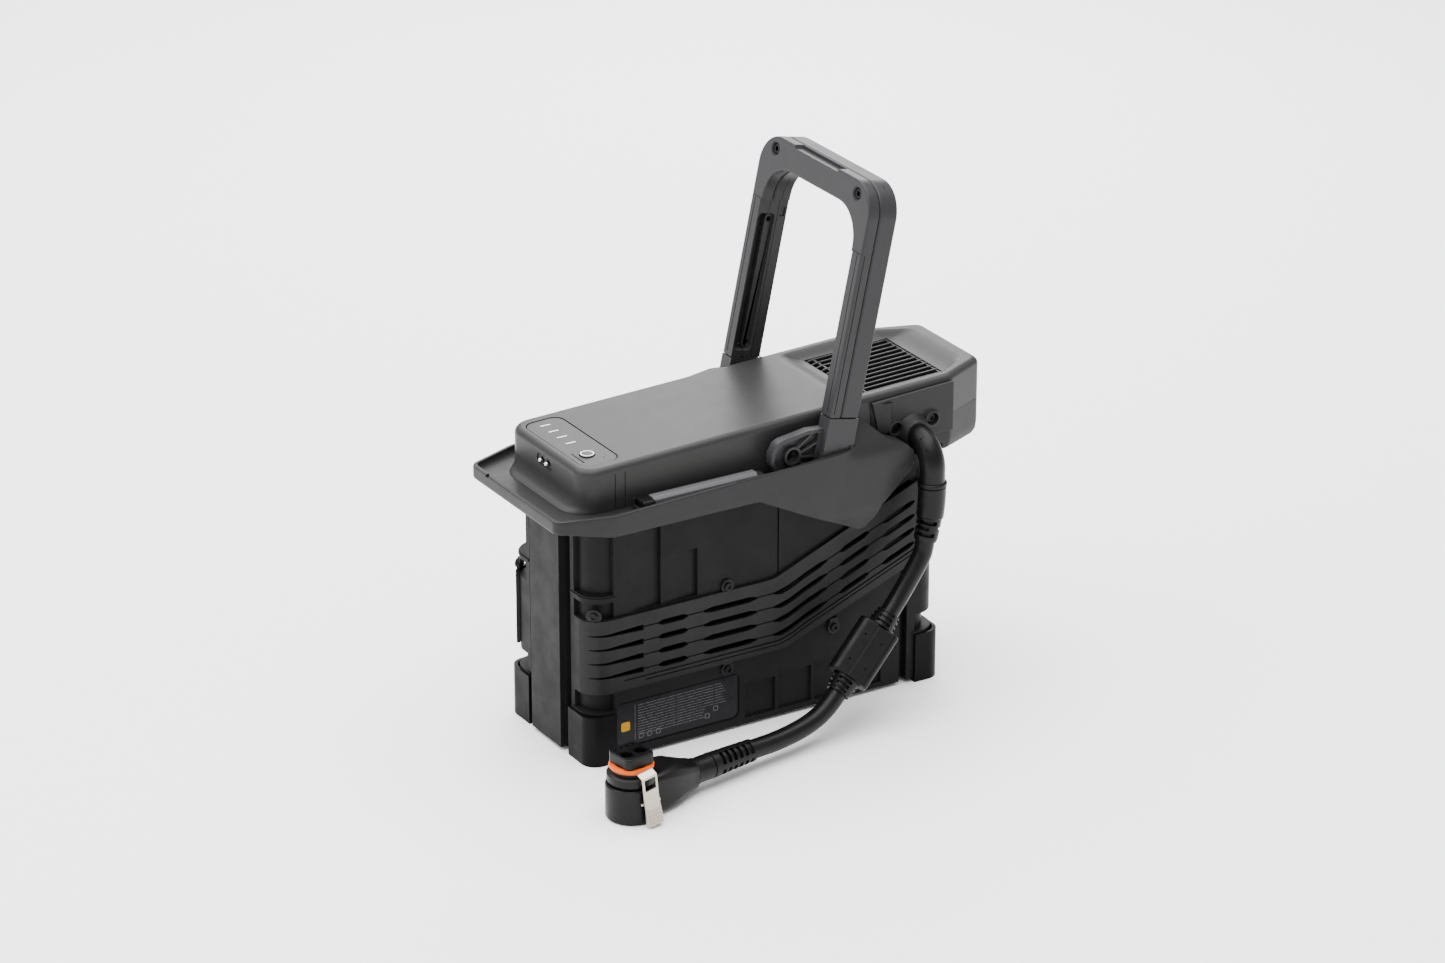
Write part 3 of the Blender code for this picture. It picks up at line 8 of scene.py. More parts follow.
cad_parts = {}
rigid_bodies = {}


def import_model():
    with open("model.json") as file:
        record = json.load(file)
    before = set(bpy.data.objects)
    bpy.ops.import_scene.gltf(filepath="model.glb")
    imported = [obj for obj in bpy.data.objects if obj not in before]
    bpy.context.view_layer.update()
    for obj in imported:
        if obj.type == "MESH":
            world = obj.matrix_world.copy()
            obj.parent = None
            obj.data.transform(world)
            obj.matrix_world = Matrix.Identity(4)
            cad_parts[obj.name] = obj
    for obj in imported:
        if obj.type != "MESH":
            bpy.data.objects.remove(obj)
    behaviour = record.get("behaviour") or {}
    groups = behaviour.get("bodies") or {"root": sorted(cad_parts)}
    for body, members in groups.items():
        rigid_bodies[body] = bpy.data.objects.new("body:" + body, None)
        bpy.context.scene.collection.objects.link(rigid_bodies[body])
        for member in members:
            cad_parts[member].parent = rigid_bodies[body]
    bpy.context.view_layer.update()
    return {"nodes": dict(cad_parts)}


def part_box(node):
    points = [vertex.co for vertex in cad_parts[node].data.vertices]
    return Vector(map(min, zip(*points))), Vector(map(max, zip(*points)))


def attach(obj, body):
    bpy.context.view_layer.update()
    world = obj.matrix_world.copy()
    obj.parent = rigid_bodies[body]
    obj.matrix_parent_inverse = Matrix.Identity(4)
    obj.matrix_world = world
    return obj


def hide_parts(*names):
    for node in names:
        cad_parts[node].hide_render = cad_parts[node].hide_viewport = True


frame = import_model()
nodes = frame["nodes"]

tubLow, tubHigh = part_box("tub")
frontX, rearX = tubLow[0], tubHigh[0]
sideY = tubHigh[1]
gap = 0.0003
rise = 0.033
tubCorner = 0.018
sideTag = {-1: "Left", 1: "Right"}
print("frame loaded")


# camera

cameraView = {"place": (-2.0187, -3.2995, 1.8772), "tilt": 66.4, "turn": -31.3, "lens": 129.55}

bpy.ops.object.select_all(action="DESELECT")
bpy.ops.object.camera_add(location=cameraView["place"],
    rotation=(math.radians(cameraView["tilt"]), 0, math.radians(cameraView["turn"])))
camera = bpy.context.object
camera.name = "studioCamera"
camera.data.lens = cameraView["lens"]
camera.data.sensor_width = 36
camera.data.clip_end = 50
bpy.context.scene.camera = camera


# modelling helpers

def deselectAll():
    bpy.ops.object.select_all(action="DESELECT")


def pick(*pieces):
    deselectAll()
    for piece in pieces:
        piece.select_set(True)
    bpy.context.view_layer.objects.active = pieces[0]


def loft(name, rings):
    # a filled circle is added, then extruded once for each ring and moved onto it
    deselectAll()
    bpy.ops.mesh.primitive_circle_add(vertices=len(rings[0]), radius=0.01, fill_type="NGON")
    piece = bpy.context.object
    piece.name = name
    for vert, place in zip(piece.data.vertices, rings[0]):
        vert.co = place
    bpy.ops.object.mode_set(mode="EDIT")
    bpy.ops.mesh.select_all(action="SELECT")
    last = list(range(len(rings[0])))
    for ring in rings[1:]:
        bpy.ops.mesh.extrude_region_move()
        shape = bmesh.from_edit_mesh(piece.data)
        shape.verts.ensure_lookup_table()
        moved = []
        for old in last:
            moved.append(next(edge.other_vert(shape.verts[old]) for edge in shape.verts[old].link_edges
                if edge.other_vert(shape.verts[old]).select))
        for vert, place in zip(moved, ring):
            vert.co = place
        last = [vert.index for vert in moved]
        bmesh.update_edit_mesh(piece.data)
    bpy.ops.mesh.select_all(action="SELECT")
    bpy.ops.mesh.normals_make_consistent(inside=False)
    bpy.ops.object.mode_set(mode="OBJECT")
    return piece


def slab(name, outline, axis, low, high):
    # an outline in the plane across the axis, thickened from low to high
    order = {"x": (2, 0, 1), "y": (0, 2, 1), "z": (0, 1, 2)}[axis]
    return loft(name, [[tuple((a, b, level)[k] for k in order) for a, b in outline] for level in (low,
        high)])


def block(name, low, high):
    outline = [(low[0], low[1]), (high[0], low[1]), (high[0], high[1]), (low[0], high[1])]
    return slab(name, outline, "z", low[2], high[2])


def turnOf(direction, hint=(0, 0, 1)):
    z = Vector(direction).normalized()
    x = Vector(hint) - z * Vector(hint).dot(z)
    if x.length < 1e-6:
        x = Vector((1, 0, 0)) - z * z.x
    x.normalize()
    return Matrix((x, z.cross(x), z)).transposed()


def turned(name, profile, base, direction=(0, 0, 1), sides=40):
    # a turned piece from radius and height pairs, listed from its base to its end
    turn = turnOf(direction)
    rings = []
    for radius, height in profile:
        ring = []
        for side in range(sides):
            angle = 2 * math.pi * side / sides
            spot = Vector((radius * math.cos(angle), radius * math.sin(angle), height))
            ring.append(Vector(base) + turn @ spot)
        rings.append(ring)
    return loft(name, rings)


def rod(name, radius, low, high, *where):
    # a plain cylinder from low to high; where holds a base, a direction and a number of sides
    return turned(name, [(radius, low), (radius, high)], *where)


def sweep(name, spine, radii, sides=32, squash=1.0, hint=(0, 0, 1)):
    # round sections along a line of points, with a radius at each
    rings = []
    for number, place in enumerate(spine):
        ahead = spine[min(number + 1, len(spine) - 1)] - spine[max(number - 1, 0)]
        turn = turnOf(ahead, hint)
        ring = []
        for side in range(sides):
            angle = 2 * math.pi * side / sides
            spot = Vector((math.cos(angle) * squash, math.sin(angle), 0)) * radii[number]
            ring.append(place + turn @ spot)
        rings.append(ring)
    return loft(name, rings)


def applyAll(piece):
    pick(piece)
    for modifier in list(piece.modifiers):
        bpy.ops.object.modifier_apply(modifier=modifier.name)
    return piece


def boolean(piece, tools, operation):
    for tool in tools:
        modifier = piece.modifiers.new("shape", "BOOLEAN")
        modifier.operation = operation
        modifier.solver = "EXACT"
        modifier.object = tool
        pick(piece)
        bpy.ops.object.modifier_apply(modifier=modifier.name)
    for tool in tools:
        bpy.data.objects.remove(tool, do_unlink=True)
    return piece


def cutAway(piece, *tools):
    return boolean(piece, tools, "DIFFERENCE")


def fuse(piece, *tools):
    return boolean(piece, tools, "UNION")


def cutGroup(piece, tools):
    # tools that don't touch one another are joined and cut in one step
    pick(*tools)
    bpy.ops.object.join()
    return cutAway(piece, tools[0])


def soften(piece, width, segments=2, angle=35):
    modifier = piece.modifiers.new("edges", "BEVEL")
    modifier.width = width
    modifier.segments = segments
    modifier.limit_method = "ANGLE"
    modifier.angle_limit = math.radians(angle)
    modifier.use_clamp_overlap = True
    return applyAll(piece)


def smoothShade(piece, angle=32):
    pick(piece)
    bpy.ops.object.shade_smooth_by_angle(angle=math.radians(angle))
    return piece


def settle(piece, matrix):
    pick(piece)
    piece.matrix_world = matrix
    bpy.ops.object.transform_apply(location=True, rotation=True, scale=True)
    return piece


def copyNode(node, name):
    # a welded copy of a CAD piece with its flat faces whole again
    pick(nodes[node])
    bpy.ops.object.duplicate()
    piece = bpy.context.object
    piece.name = name
    bpy.ops.object.parent_clear(type="CLEAR_KEEP_TRANSFORM")
    bpy.ops.object.mode_set(mode="EDIT")
    bpy.ops.mesh.select_all(action="SELECT")
    bpy.ops.mesh.remove_doubles(threshold=0.00002)
    bpy.ops.mesh.dissolve_limited(angle_limit=math.radians(1.0))
    bpy.ops.object.mode_set(mode="OBJECT")
    return piece


def rounded(corners, radius, steps=6):
    # an outline with its corners rounded; radius is one value or one for each corner
    points = []
    count = len(corners)
    for number in range(count):
        size = radius[number] if isinstance(radius, (list, tuple)) else radius
        before, here, after = (Vector(corners[(number + k) % count]) for k in (-1, 0, 1))
        if size <= 0:
            points.append(tuple(here))
            continue
        back, ahead = (before - here).normalized(), (after - here).normalized()
        opening = math.acos(max(-1.0, min(1.0, back.dot(ahead))))
        reach = min(size / math.tan(opening / 2), (before - here).length * 0.49,
            (after - here).length * 0.49)
        actual = reach * math.tan(opening / 2)
        centre = here + (back + ahead).normalized() * (actual / math.sin(opening / 2))
        first, last = here + back * reach - centre, here + ahead * reach - centre
        sweepAngle = first.angle_signed(last)
        for step in range(steps + 1):
            angle = -sweepAngle * step / steps
            points.append((centre.x + first.x * math.cos(angle) - first.y * math.sin(angle),
                centre.y + first.x * math.sin(angle) + first.y * math.cos(angle)))
    return points


def rectangle(x0, x1, y0, y1):
    return [(x0, y0), (x1, y0), (x1, y1), (x0, y1)]


def span(side, near, far):
    # two distances from the middle plane, as low and high on the given side
    return sorted((side * near, side * far))


def smoothLine(points, perSpan):
    route = [2 * points[0] - points[1]] + points + [2 * points[-1] - points[-2]]
    line = []
    for a, b, c, d in zip(route, route[1:], route[2:], route[3:]):
        for step in range(perSpan):
            t = step / perSpan
            line.append(0.5
                * (2 * b + (c - a) * t + (2 * a - 5 * b + 4 * c - d) * t ** 2 + (3 * b - a - 3 * c + d)
                * t ** 3))
    line.append(points[-1])
    return line


def lineLength(points):
    return sum((b - a).length for a, b in zip(points, points[1:]))


# materials

def makeMaterial(name, colour, roughness, metallic=0.0, grain=2400, grainDepth=0.00004, grainPush=0.35,
        mottle=0.10, mottleScale=22, polish=0.08, scuff=0.0, coat=0.0, sheen=0.16):
    material = bpy.data.materials.new(name)
    material.use_nodes = True
    tree = material.node_tree
    shader = tree.nodes["Principled BSDF"]
    shader.inputs["Metallic"].default_value = metallic
    shader.inputs["Specular IOR Level"].default_value = 0.5 if metallic else sheen
    shader.inputs["Coat Weight"].default_value = coat
    shader.inputs["Coat Roughness"].default_value = 0.12
    where = tree.nodes.new("ShaderNodeTexCoord")

    def noise(scale, detail, stretch=None):
        texture = tree.nodes.new("ShaderNodeTexNoise")
        texture.inputs["Scale"].default_value = scale
        texture.inputs["Detail"].default_value = detail
        if stretch:
            mapping = tree.nodes.new("ShaderNodeMapping")
            mapping.inputs["Scale"].default_value = stretch
            tree.links.new(where.outputs["Object"], mapping.inputs["Vector"])
            tree.links.new(mapping.outputs["Vector"], texture.inputs["Vector"])
        else:
            tree.links.new(where.outputs["Object"], texture.inputs["Vector"])
        return texture.outputs["Fac"]

    def spread(source, low, high):
        ranger = tree.nodes.new("ShaderNodeMapRange")
        ranger.inputs["From Min"].default_value = 0.3
        ranger.inputs["From Max"].default_value = 0.7
        ranger.inputs["To Min"].default_value = low
        ranger.inputs["To Max"].default_value = high
        tree.links.new(source, ranger.inputs["Value"])
        return ranger.outputs["Result"]

    # cloudy colour, from slow changes in the moulding and fine dust
    shade = tree.nodes.new("ShaderNodeMix")
    shade.data_type = "RGBA"
    shade.inputs["A"].default_value = (*[c * (1 - mottle) for c in colour], 1)
    shade.inputs["B"].default_value = (*[min(1, c * (1 + mottle)) for c in colour], 1)
    tree.links.new(spread(noise(mottleScale, 5), 0, 1), shade.inputs["Factor"])
    result = shade.outputs["Result"]
    if scuff > 0:
        lighter = tree.nodes.new("ShaderNodeMix")
        lighter.data_type = "RGBA"
        lighter.inputs["B"].default_value = (*[min(1, c * 1.6 + 0.02) for c in colour], 1)
        tree.links.new(result, lighter.inputs["A"])
        streak = tree.nodes.new("ShaderNodeMapRange")
        streak.inputs["From Min"].default_value = 0.66
        streak.inputs["From Max"].default_value = 0.80
        streak.inputs["To Max"].default_value = scuff
        tree.links.new(noise(90, 6, (1.0, 9.0, 2.0)), streak.inputs["Value"])
        tree.links.new(streak.outputs["Result"], lighter.inputs["Factor"])
        result = lighter.outputs["Result"]
    tree.links.new(result, shader.inputs["Base Color"])
    tree.links.new(spread(noise(70, 4), roughness - polish, roughness + polish), shader.inputs["Roughness"])
    bump = tree.nodes.new("ShaderNodeBump")
    bump.inputs["Strength"].default_value = grainPush
    bump.inputs["Distance"].default_value = grainDepth
    tree.links.new(noise(grain, 3), bump.inputs["Height"])
    tree.links.new(bump.outputs["Normal"], shader.inputs["Normal"])
    return material


def brushedMetal(name, colour, roughness, stretch):
    material = makeMaterial(name, colour, roughness, 1.0, grain=900, grainDepth=0.00002, grainPush=0.25,
        mottle=0.06, polish=0.07)
    tree = material.node_tree
    where = next(node for node in tree.nodes if node.type == "TEX_COORD")
    bump = next(node for node in tree.nodes if node.type == "BUMP")
    texture = bump.inputs["Height"].links[0].from_node
    mapping = tree.nodes.new("ShaderNodeMapping")
    mapping.inputs["Scale"].default_value = stretch
    tree.links.new(where.outputs["Object"], mapping.inputs["Vector"])
    tree.links.new(mapping.outputs["Vector"], texture.inputs["Vector"])
    return material


finishes = {
    "tubPlastic": makeMaterial("tubPlastic", (0.0092, 0.0092, 0.0095), 0.46, scuff=0.08, sheen=0.06),
    "bumperPlastic": makeMaterial("bumperPlastic", (0.0032, 0.0032, 0.0034), 0.42, grain=1900,
        sheen=0.06),
    "finPlastic": makeMaterial("finPlastic", (0.0100, 0.0100, 0.0103), 0.40, sheen=0.12),
    "framePlastic": makeMaterial("framePlastic", (0.0145, 0.0145, 0.0148), 0.44, grain=2800, mottle=0.05,
        polish=0.03, scuff=0.06),
    "coverPlastic": makeMaterial("coverPlastic", (0.0225, 0.0222, 0.0220), 0.38, grain=3000, mottle=0.03,
        polish=0.02, scuff=0.03),
    "handlePlastic": makeMaterial("handlePlastic", (0.024, 0.024, 0.0255), 0.40, grain=2600, mottle=0.05,
        polish=0.03, scuff=0.06),
    # black plastic for real black parts, also used for the black sheets that paint shade in the fin slots
    # and under the grille
    "blackPlasticAndShade": makeMaterial("blackPlasticAndShade", (0.0022, 0.0022, 0.0023), 0.45),
    "grillePlastic": makeMaterial("grillePlastic", (0.010, 0.010, 0.0103), 0.40, grain=2600),
    "plugPlastic": makeMaterial("plugPlastic", (0.0028, 0.0028, 0.0030), 0.38, grain=2200),
    "panelFilm": makeMaterial("panelFilm", (0.016, 0.0153, 0.0148), 0.32, grain=4200, grainPush=0.15,
        mottle=0.03, polish=0.02),
    "leadRubber": makeMaterial("leadRubber", (0.0032, 0.0032, 0.0036), 0.36, grain=1500,
        grainDepth=0.00005),
    "stripRubber": makeMaterial("stripRubber", (0.080, 0.080, 0.085), 0.34, grain=1500, mottle=0.05),
    "sealSilicone": makeMaterial("sealSilicone", (0.60, 0.085, 0.004), 0.42, grain=900, coat=0.15),
    "brightSteel": brushedMetal("brightSteel", (0.46, 0.405, 0.345), 0.36, (1, 1, 14)),
    "pinMetal": brushedMetal("pinMetal", (0.80, 0.80, 0.80), 0.20, (6, 1, 1)),
    "darkSteel": brushedMetal("darkSteel", (0.014, 0.014, 0.015), 0.36, (6, 6, 1)),
    "boardGreen": makeMaterial("boardGreen", (0.02, 0.11, 0.05), 0.35, mottle=0.25, mottleScale=120,
        coat=0.3),
    "cellWrap": makeMaterial("cellWrap", (0.04, 0.09, 0.24), 0.38, mottle=0.15),
    "whiteLight": makeMaterial("whiteLight", (0.86, 0.88, 0.90), 0.36, mottle=0.03),
    "labelFilm": makeMaterial("labelFilm", (0.006, 0.006, 0.0078), 0.32, grain=3500, grainPush=0.15),
    "labelPrint": makeMaterial("labelPrint", (0.085, 0.085, 0.092), 0.45, mottle=0.2, mottleScale=300),
    "labelAmber": makeMaterial("labelAmber", (0.50, 0.25, 0.006), 0.45, mottle=0.08),
}


def dress(piece, finish, body="root", replaces=(), angle=32):
    piece.data.materials.clear()
    piece.data.materials.append(finishes[finish])
    if piece.type == "MESH":
        smoothShade(piece, angle)
        even = piece.modifiers.new("even", "WEIGHTED_NORMAL")
        even.keep_sharp = True
        even.weight = 90
        applyAll(piece)
    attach(piece, body)
    if replaces:
        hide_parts(*replaces)
    return piece


print("materials made")


# floor and light

studio = {"floorSize": 60.0, "floor": (0.97, 0.97, 0.965), "sky": 0.9,
    "lamps": [("topLamp", (-0.3, 0.6, 4.0), 6.5, 860.0), ("sideLamp", (-2.2, 0.1, 1.3), 1.2, 15.0),
    ("rearLamp", (1.0, 1.5, 1.0), 0.9, 15.0)]}

deselectAll()
bpy.ops.mesh.primitive_plane_add(size=studio["floorSize"], location=(0, 0, -0.0002))
floor = bpy.context.object
floor.name = "studioFloor"
bpy.ops.object.transform_apply(location=True)
floorMaterial = bpy.data.materials.new("floorPaper")
floorMaterial.use_nodes = True
floorShader = floorMaterial.node_tree.nodes["Principled BSDF"]
floorShader.inputs["Base Color"].default_value = (*studio["floor"], 1)
floorShader.inputs["Roughness"].default_value = 0.75
floor.data.materials.append(floorMaterial)

world = bpy.data.worlds.new("studioWorld")
bpy.context.scene.world = world
world.use_nodes = True
world.node_tree.nodes["Background"].inputs["Color"].default_value = (1, 1, 1, 1)
world.node_tree.nodes["Background"].inputs["Strength"].default_value = studio["sky"]
for lampName, place, size, power in studio["lamps"]:
    bpy.ops.object.light_add(type="AREA", location=place)
    lamp = bpy.context.object
    lamp.name = lampName
    lamp.data.size = size
    lamp.data.energy = power
    aim = Vector((0.0, 0.0, 0.15)) - Vector(place)
    lamp.rotation_euler = aim.to_track_quat("-Z", "Y").to_euler()
print("studio lit")


# output lead

leadValues = {
    "diameter": 0.016, "fromRear": 0.0285, "exitZ": 0.2255, "reach": 0.032,
    "collarTop": 0.190, "clear": 0.0113,
    "plugFromLead": (-0.31555, -0.055), "plugAngle": math.radians(8.5), "plugLength": 0.117,
    "plugZ": 0.0175,
    "route": [
        (-0.0070, -0.0015, 0.1438), (-0.0094, -0.0019, 0.1340), (-0.0146, -0.0026, 0.1255),
        (-0.0216, -0.0036, 0.1165), (-0.0296, -0.0049, 0.1070), (-0.0374, -0.0064, 0.0985),
        (-0.0446, -0.0081, 0.0915), (-0.1046, -0.0219, 0.0375), (-0.1132, -0.0238, 0.0308),
        (-0.1220, -0.0256, 0.0258), (-0.1320, -0.0275, 0.0222), (-0.1440, -0.0295, 0.0196),
        (-0.1580, -0.0318, 0.0180), (-0.1730, -0.0342, 0.0174),
    ],
    "straightFrom": 6,
}
leadX = rearX - leadValues["fromRear"]
leadY = -(sideY + leadValues["reach"])
leadRadius = leadValues["diameter"] / 2
plugCentre = Vector((leadX + leadValues["plugFromLead"][0], leadY + leadValues["plugFromLead"][1], 0))
plugAngle = leadValues["plugAngle"]
plugWay = Vector((math.cos(plugAngle), math.sin(plugAngle), 0))
plugExit = plugCentre + plugWay * leadValues["plugLength"] + Vector((0, 0, leadValues["plugZ"]))

leadKnots = [Vector((leadX + x, leadY + y, z)) for x, y, z in leadValues["route"]]
split = leadValues["straightFrom"]
ferriteStart, ferriteEnd = leadKnots[split], leadKnots[split + 1]
ferriteWay = (ferriteEnd - ferriteStart).normalized()
ferriteMid = (ferriteStart + ferriteEnd) / 2
straightPart = [ferriteStart.lerp(ferriteEnd, step / 8) for step in range(9)]
tailPart = leadKnots[split + 1:] + [plugExit + plugWay * 0.010, plugExit + plugWay * gap]
leadLine = smoothLine(leadKnots[:split + 1], 5)[:-1] + straightPart + smoothLine(tailPart, 5)[1:]

deselectAll()
bpy.ops.curve.primitive_bezier_curve_add()
outputLead = bpy.context.object
outputLead.name = "outputLead"
outputLead.data.splines.clear()
spline = outputLead.data.splines.new("POLY")
spline.points.add(len(leadLine) - 1)
for point, place in zip(spline.points, leadLine):
    point.co = (*place, 1)
outputLead.data.dimensions = "3D"
outputLead.data.bevel_depth = leadRadius
outputLead.data.bevel_resolution = 8
outputLead.data.use_fill_caps = True
spline.use_smooth = True
dress(outputLead, "leadRubber", replaces=("output_cable",))


def slotsRound(name, spine, count, around, width, radius, depth, turnStart=45.0, span=58.0, stagger=0.0):
    # cutters for the short slots that let a strain relief flex
    cutters = []
    for number in range(count):
        at = (number + 0.5) / count * (len(spine) - 1)
        index = min(int(at), len(spine) - 2)
        place = spine[index].lerp(spine[index + 1], at - index)
        way = (spine[index + 1] - spine[index]).normalized()
        turn = turnOf(way).to_4x4()
        for side in range(around):
            middle = turnStart + 360 / around * side + stagger * (number % 2)
            arc = []
            for reach in (radius - depth, radius + 0.004):
                steps = [math.radians(middle + span * (k / 6 - 0.5)) for k in range(7)]
                if reach > radius:
                    steps.reverse()
                arc += [(reach * math.cos(a), reach * math.sin(a)) for a in steps]
            cutter = slab("%sSlot%d_%d" % (name, number, side), arc, "z", -width / 2, width / 2)
            settle(cutter, Matrix.Translation(place) @ turn)
            cutters.append(cutter)
    return cutters


def makeElbow():
    values = {"radius": 0.0105, "bend": 0.021, "dots": [(0.35, 0.0007), (0.62, 0.0007)]}
    coverHalf = sideY - 0.0015
    start = Vector((leadX, -(coverHalf + 2 * gap), leadValues["exitZ"]))
    corner = Vector((leadX, leadY, leadValues["exitZ"]))
    first, last = corner + Vector((0, values["bend"], 0)), corner + Vector((0, 0, -values["bend"]))
    foot = Vector((leadX, leadY, leadValues["collarTop"] + gap))
    spine = [start, start.lerp(first, 0.5)]
    arc = []
    for step in range(17):
        angle = math.pi / 2 * step / 16
        arc.append(Vector((leadX, first.y - values["bend"] * math.sin(angle),
            last.z + values["bend"] * math.cos(angle))))
    spine += arc + [last.lerp(foot, 0.5), foot]
    radii = [values["radius"]] * len(spine)
    elbow = sweep("elbowSleeve", spine, radii, 40, hint=(1, 0, 0))
    dots = []
    for share, size in values["dots"]:
        at = arc[int(share * 16)]
        side = (Vector((-0.55, 0, 0)) + (at - Vector((leadX, first.y,
            last.z))).normalized() * 0.6).normalized()
        dots.append(rod("elbowDot", size, 0.0, 0.004, at + side * (values["radius"] - 0.0012), side, 12))
    cutGroup(elbow, dots)
    ring = turned("elbowRing", [(0.0112, 0.0), (0.0121, 0.0008), (0.0121, 0.0030), (0.0112, 0.0040)],
        foot + Vector((0, 0, 0.0002)), (0, 0, 1), 40)
    hole = rod("ringHole", 0.0107, -0.01, 0.02, foot, (0, 0, 1), 40)
    cutAway(ring, hole)
    dress(elbow, "leadRubber", replaces=("cable_elbow",))
    dress(soften(ring, 0.0003), "leadRubber")
    return [elbow, ring]


def makeCollar():
    values = {"radius": 0.0116, "steps": 40}
    way = (leadLine[1] - leadLine[0]).normalized()
    top = Vector((leadX, leadY, leadValues["collarTop"]))
    end = leadLine[0] - way * gap
    drop = top.z - end.z
    a, b = top - Vector((0, 0, drop * 0.5)), end - way * drop * 0.35
    spine, radii = [], []
    for step in range(values["steps"] + 1):
        t = step / values["steps"]
        s = 1 - t
        spine.append(top * s ** 3 + a * 3 * s * s * t + b * 3 * s * t * t + end * t ** 3)
        sleeve = values["radius"] - 0.0007 * t
        if t > 0.50:
            sleeve = values["radius"] - 0.0013 - 0.0010 * (t - 0.5)
        if t > 0.93:
            sleeve = leadRadius + 0.0020 - 0.012 * (t - 0.93)
        radii.append(sleeve)
    collar = sweep("reliefCollar", spine, radii, 40, hint=(1, 0, 0))
    half = spine[int(values["steps"] * 0.55):int(values["steps"] * 0.97)]
    cutGroup(collar, slotsRound("relief", half, 3, 2, 0.0034, 0.0098, 0.0030, 160, 128, 34))
    dress(soften(collar, 0.0003), "leadRubber", replaces=("cable_collar",))
    return [collar]


ferriteTurn = turnOf(ferriteWay, (0.634, -0.625, -0.468)).to_4x4()
ferritePlace = Matrix.Translation(ferriteMid) @ ferriteTurn


def makeFerrite():
    values = {"length": 0.050, "width": 0.036, "thick": 0.024, "edge": 0.0016, "boot": 0.014,
        "dots": [(-0.007, 0.012), (0.0085, 0.012), (-0.007, -0.012), (0.0085, -0.012)]}
    halfL, halfW, halfT = values["length"] / 2, values["width"] / 2, values["thick"] / 2
    outline = rounded([(-halfW, -halfT), (-0.002, -halfT), (0.001, -halfT + 0.0018),
        (halfW, -halfT + 0.0018), (halfW, halfT - 0.0018), (0.001, halfT - 0.0018), (-0.002, halfT),
        (-halfW, halfT)], [0.0105, 0.002, 0.002, 0.005, 0.005, 0.002, 0.002, 0.0105], 8)
    core = soften(slab("ferriteBlock", outline, "z", -halfL, halfL), values["edge"], 3, 50)
    bore = rod("ferriteBore", leadRadius + gap, -0.04, 0.04, (0, 0, 0), (0, 0, 1), 36)
    cutAway(core, bore)
    dots = []
    for across, along in values["dots"]:
        for face in (-1, 1):
            dots.append(rod("ferriteDot", 0.0009, 0.0, 0.01, (across, face * (halfT - 0.0032), along),
                (0, face, 0), 14))
    cutGroup(core, dots)
    settle(core, ferritePlace)
    dress(core, "plugPlastic", replaces=("ferrite_core",))
    made = [core]
    for end, name, node in ((-1, "upperBoot", "ferrite_boot_upper"),
            (1, "lowerBoot", "ferrite_boot_lower")):
        near, far = end * (halfL + gap), end * (halfL + values["boot"])
        spine = [Vector((0, 0, near + (far - near) * step / 14)) for step in range(15)]
        radii = [leadRadius + 0.0040 - 0.0020 * step / 14 for step in range(15)]
        boot = sweep(name, spine, radii, 36, hint=(1, 0, 0))
        cutGroup(boot, slotsRound(name, spine[1:], 3, 4, 0.0024, leadRadius + 0.0030, 0.0021, 0, 62, 0))
        hole = rod(name + "Hole", leadRadius + gap, -0.06, 0.06, (0, 0, 0), (0, 0, 1), 36)
        cutAway(boot, hole)
        settle(boot, ferritePlace)
        dress(soften(boot, 0.00025), "leadRubber", replaces=(node,))
        made.append(boot)
    return made


plugPlace = Matrix.Translation(plugCentre) @ Matrix.Rotation(plugAngle, 4, "Z")


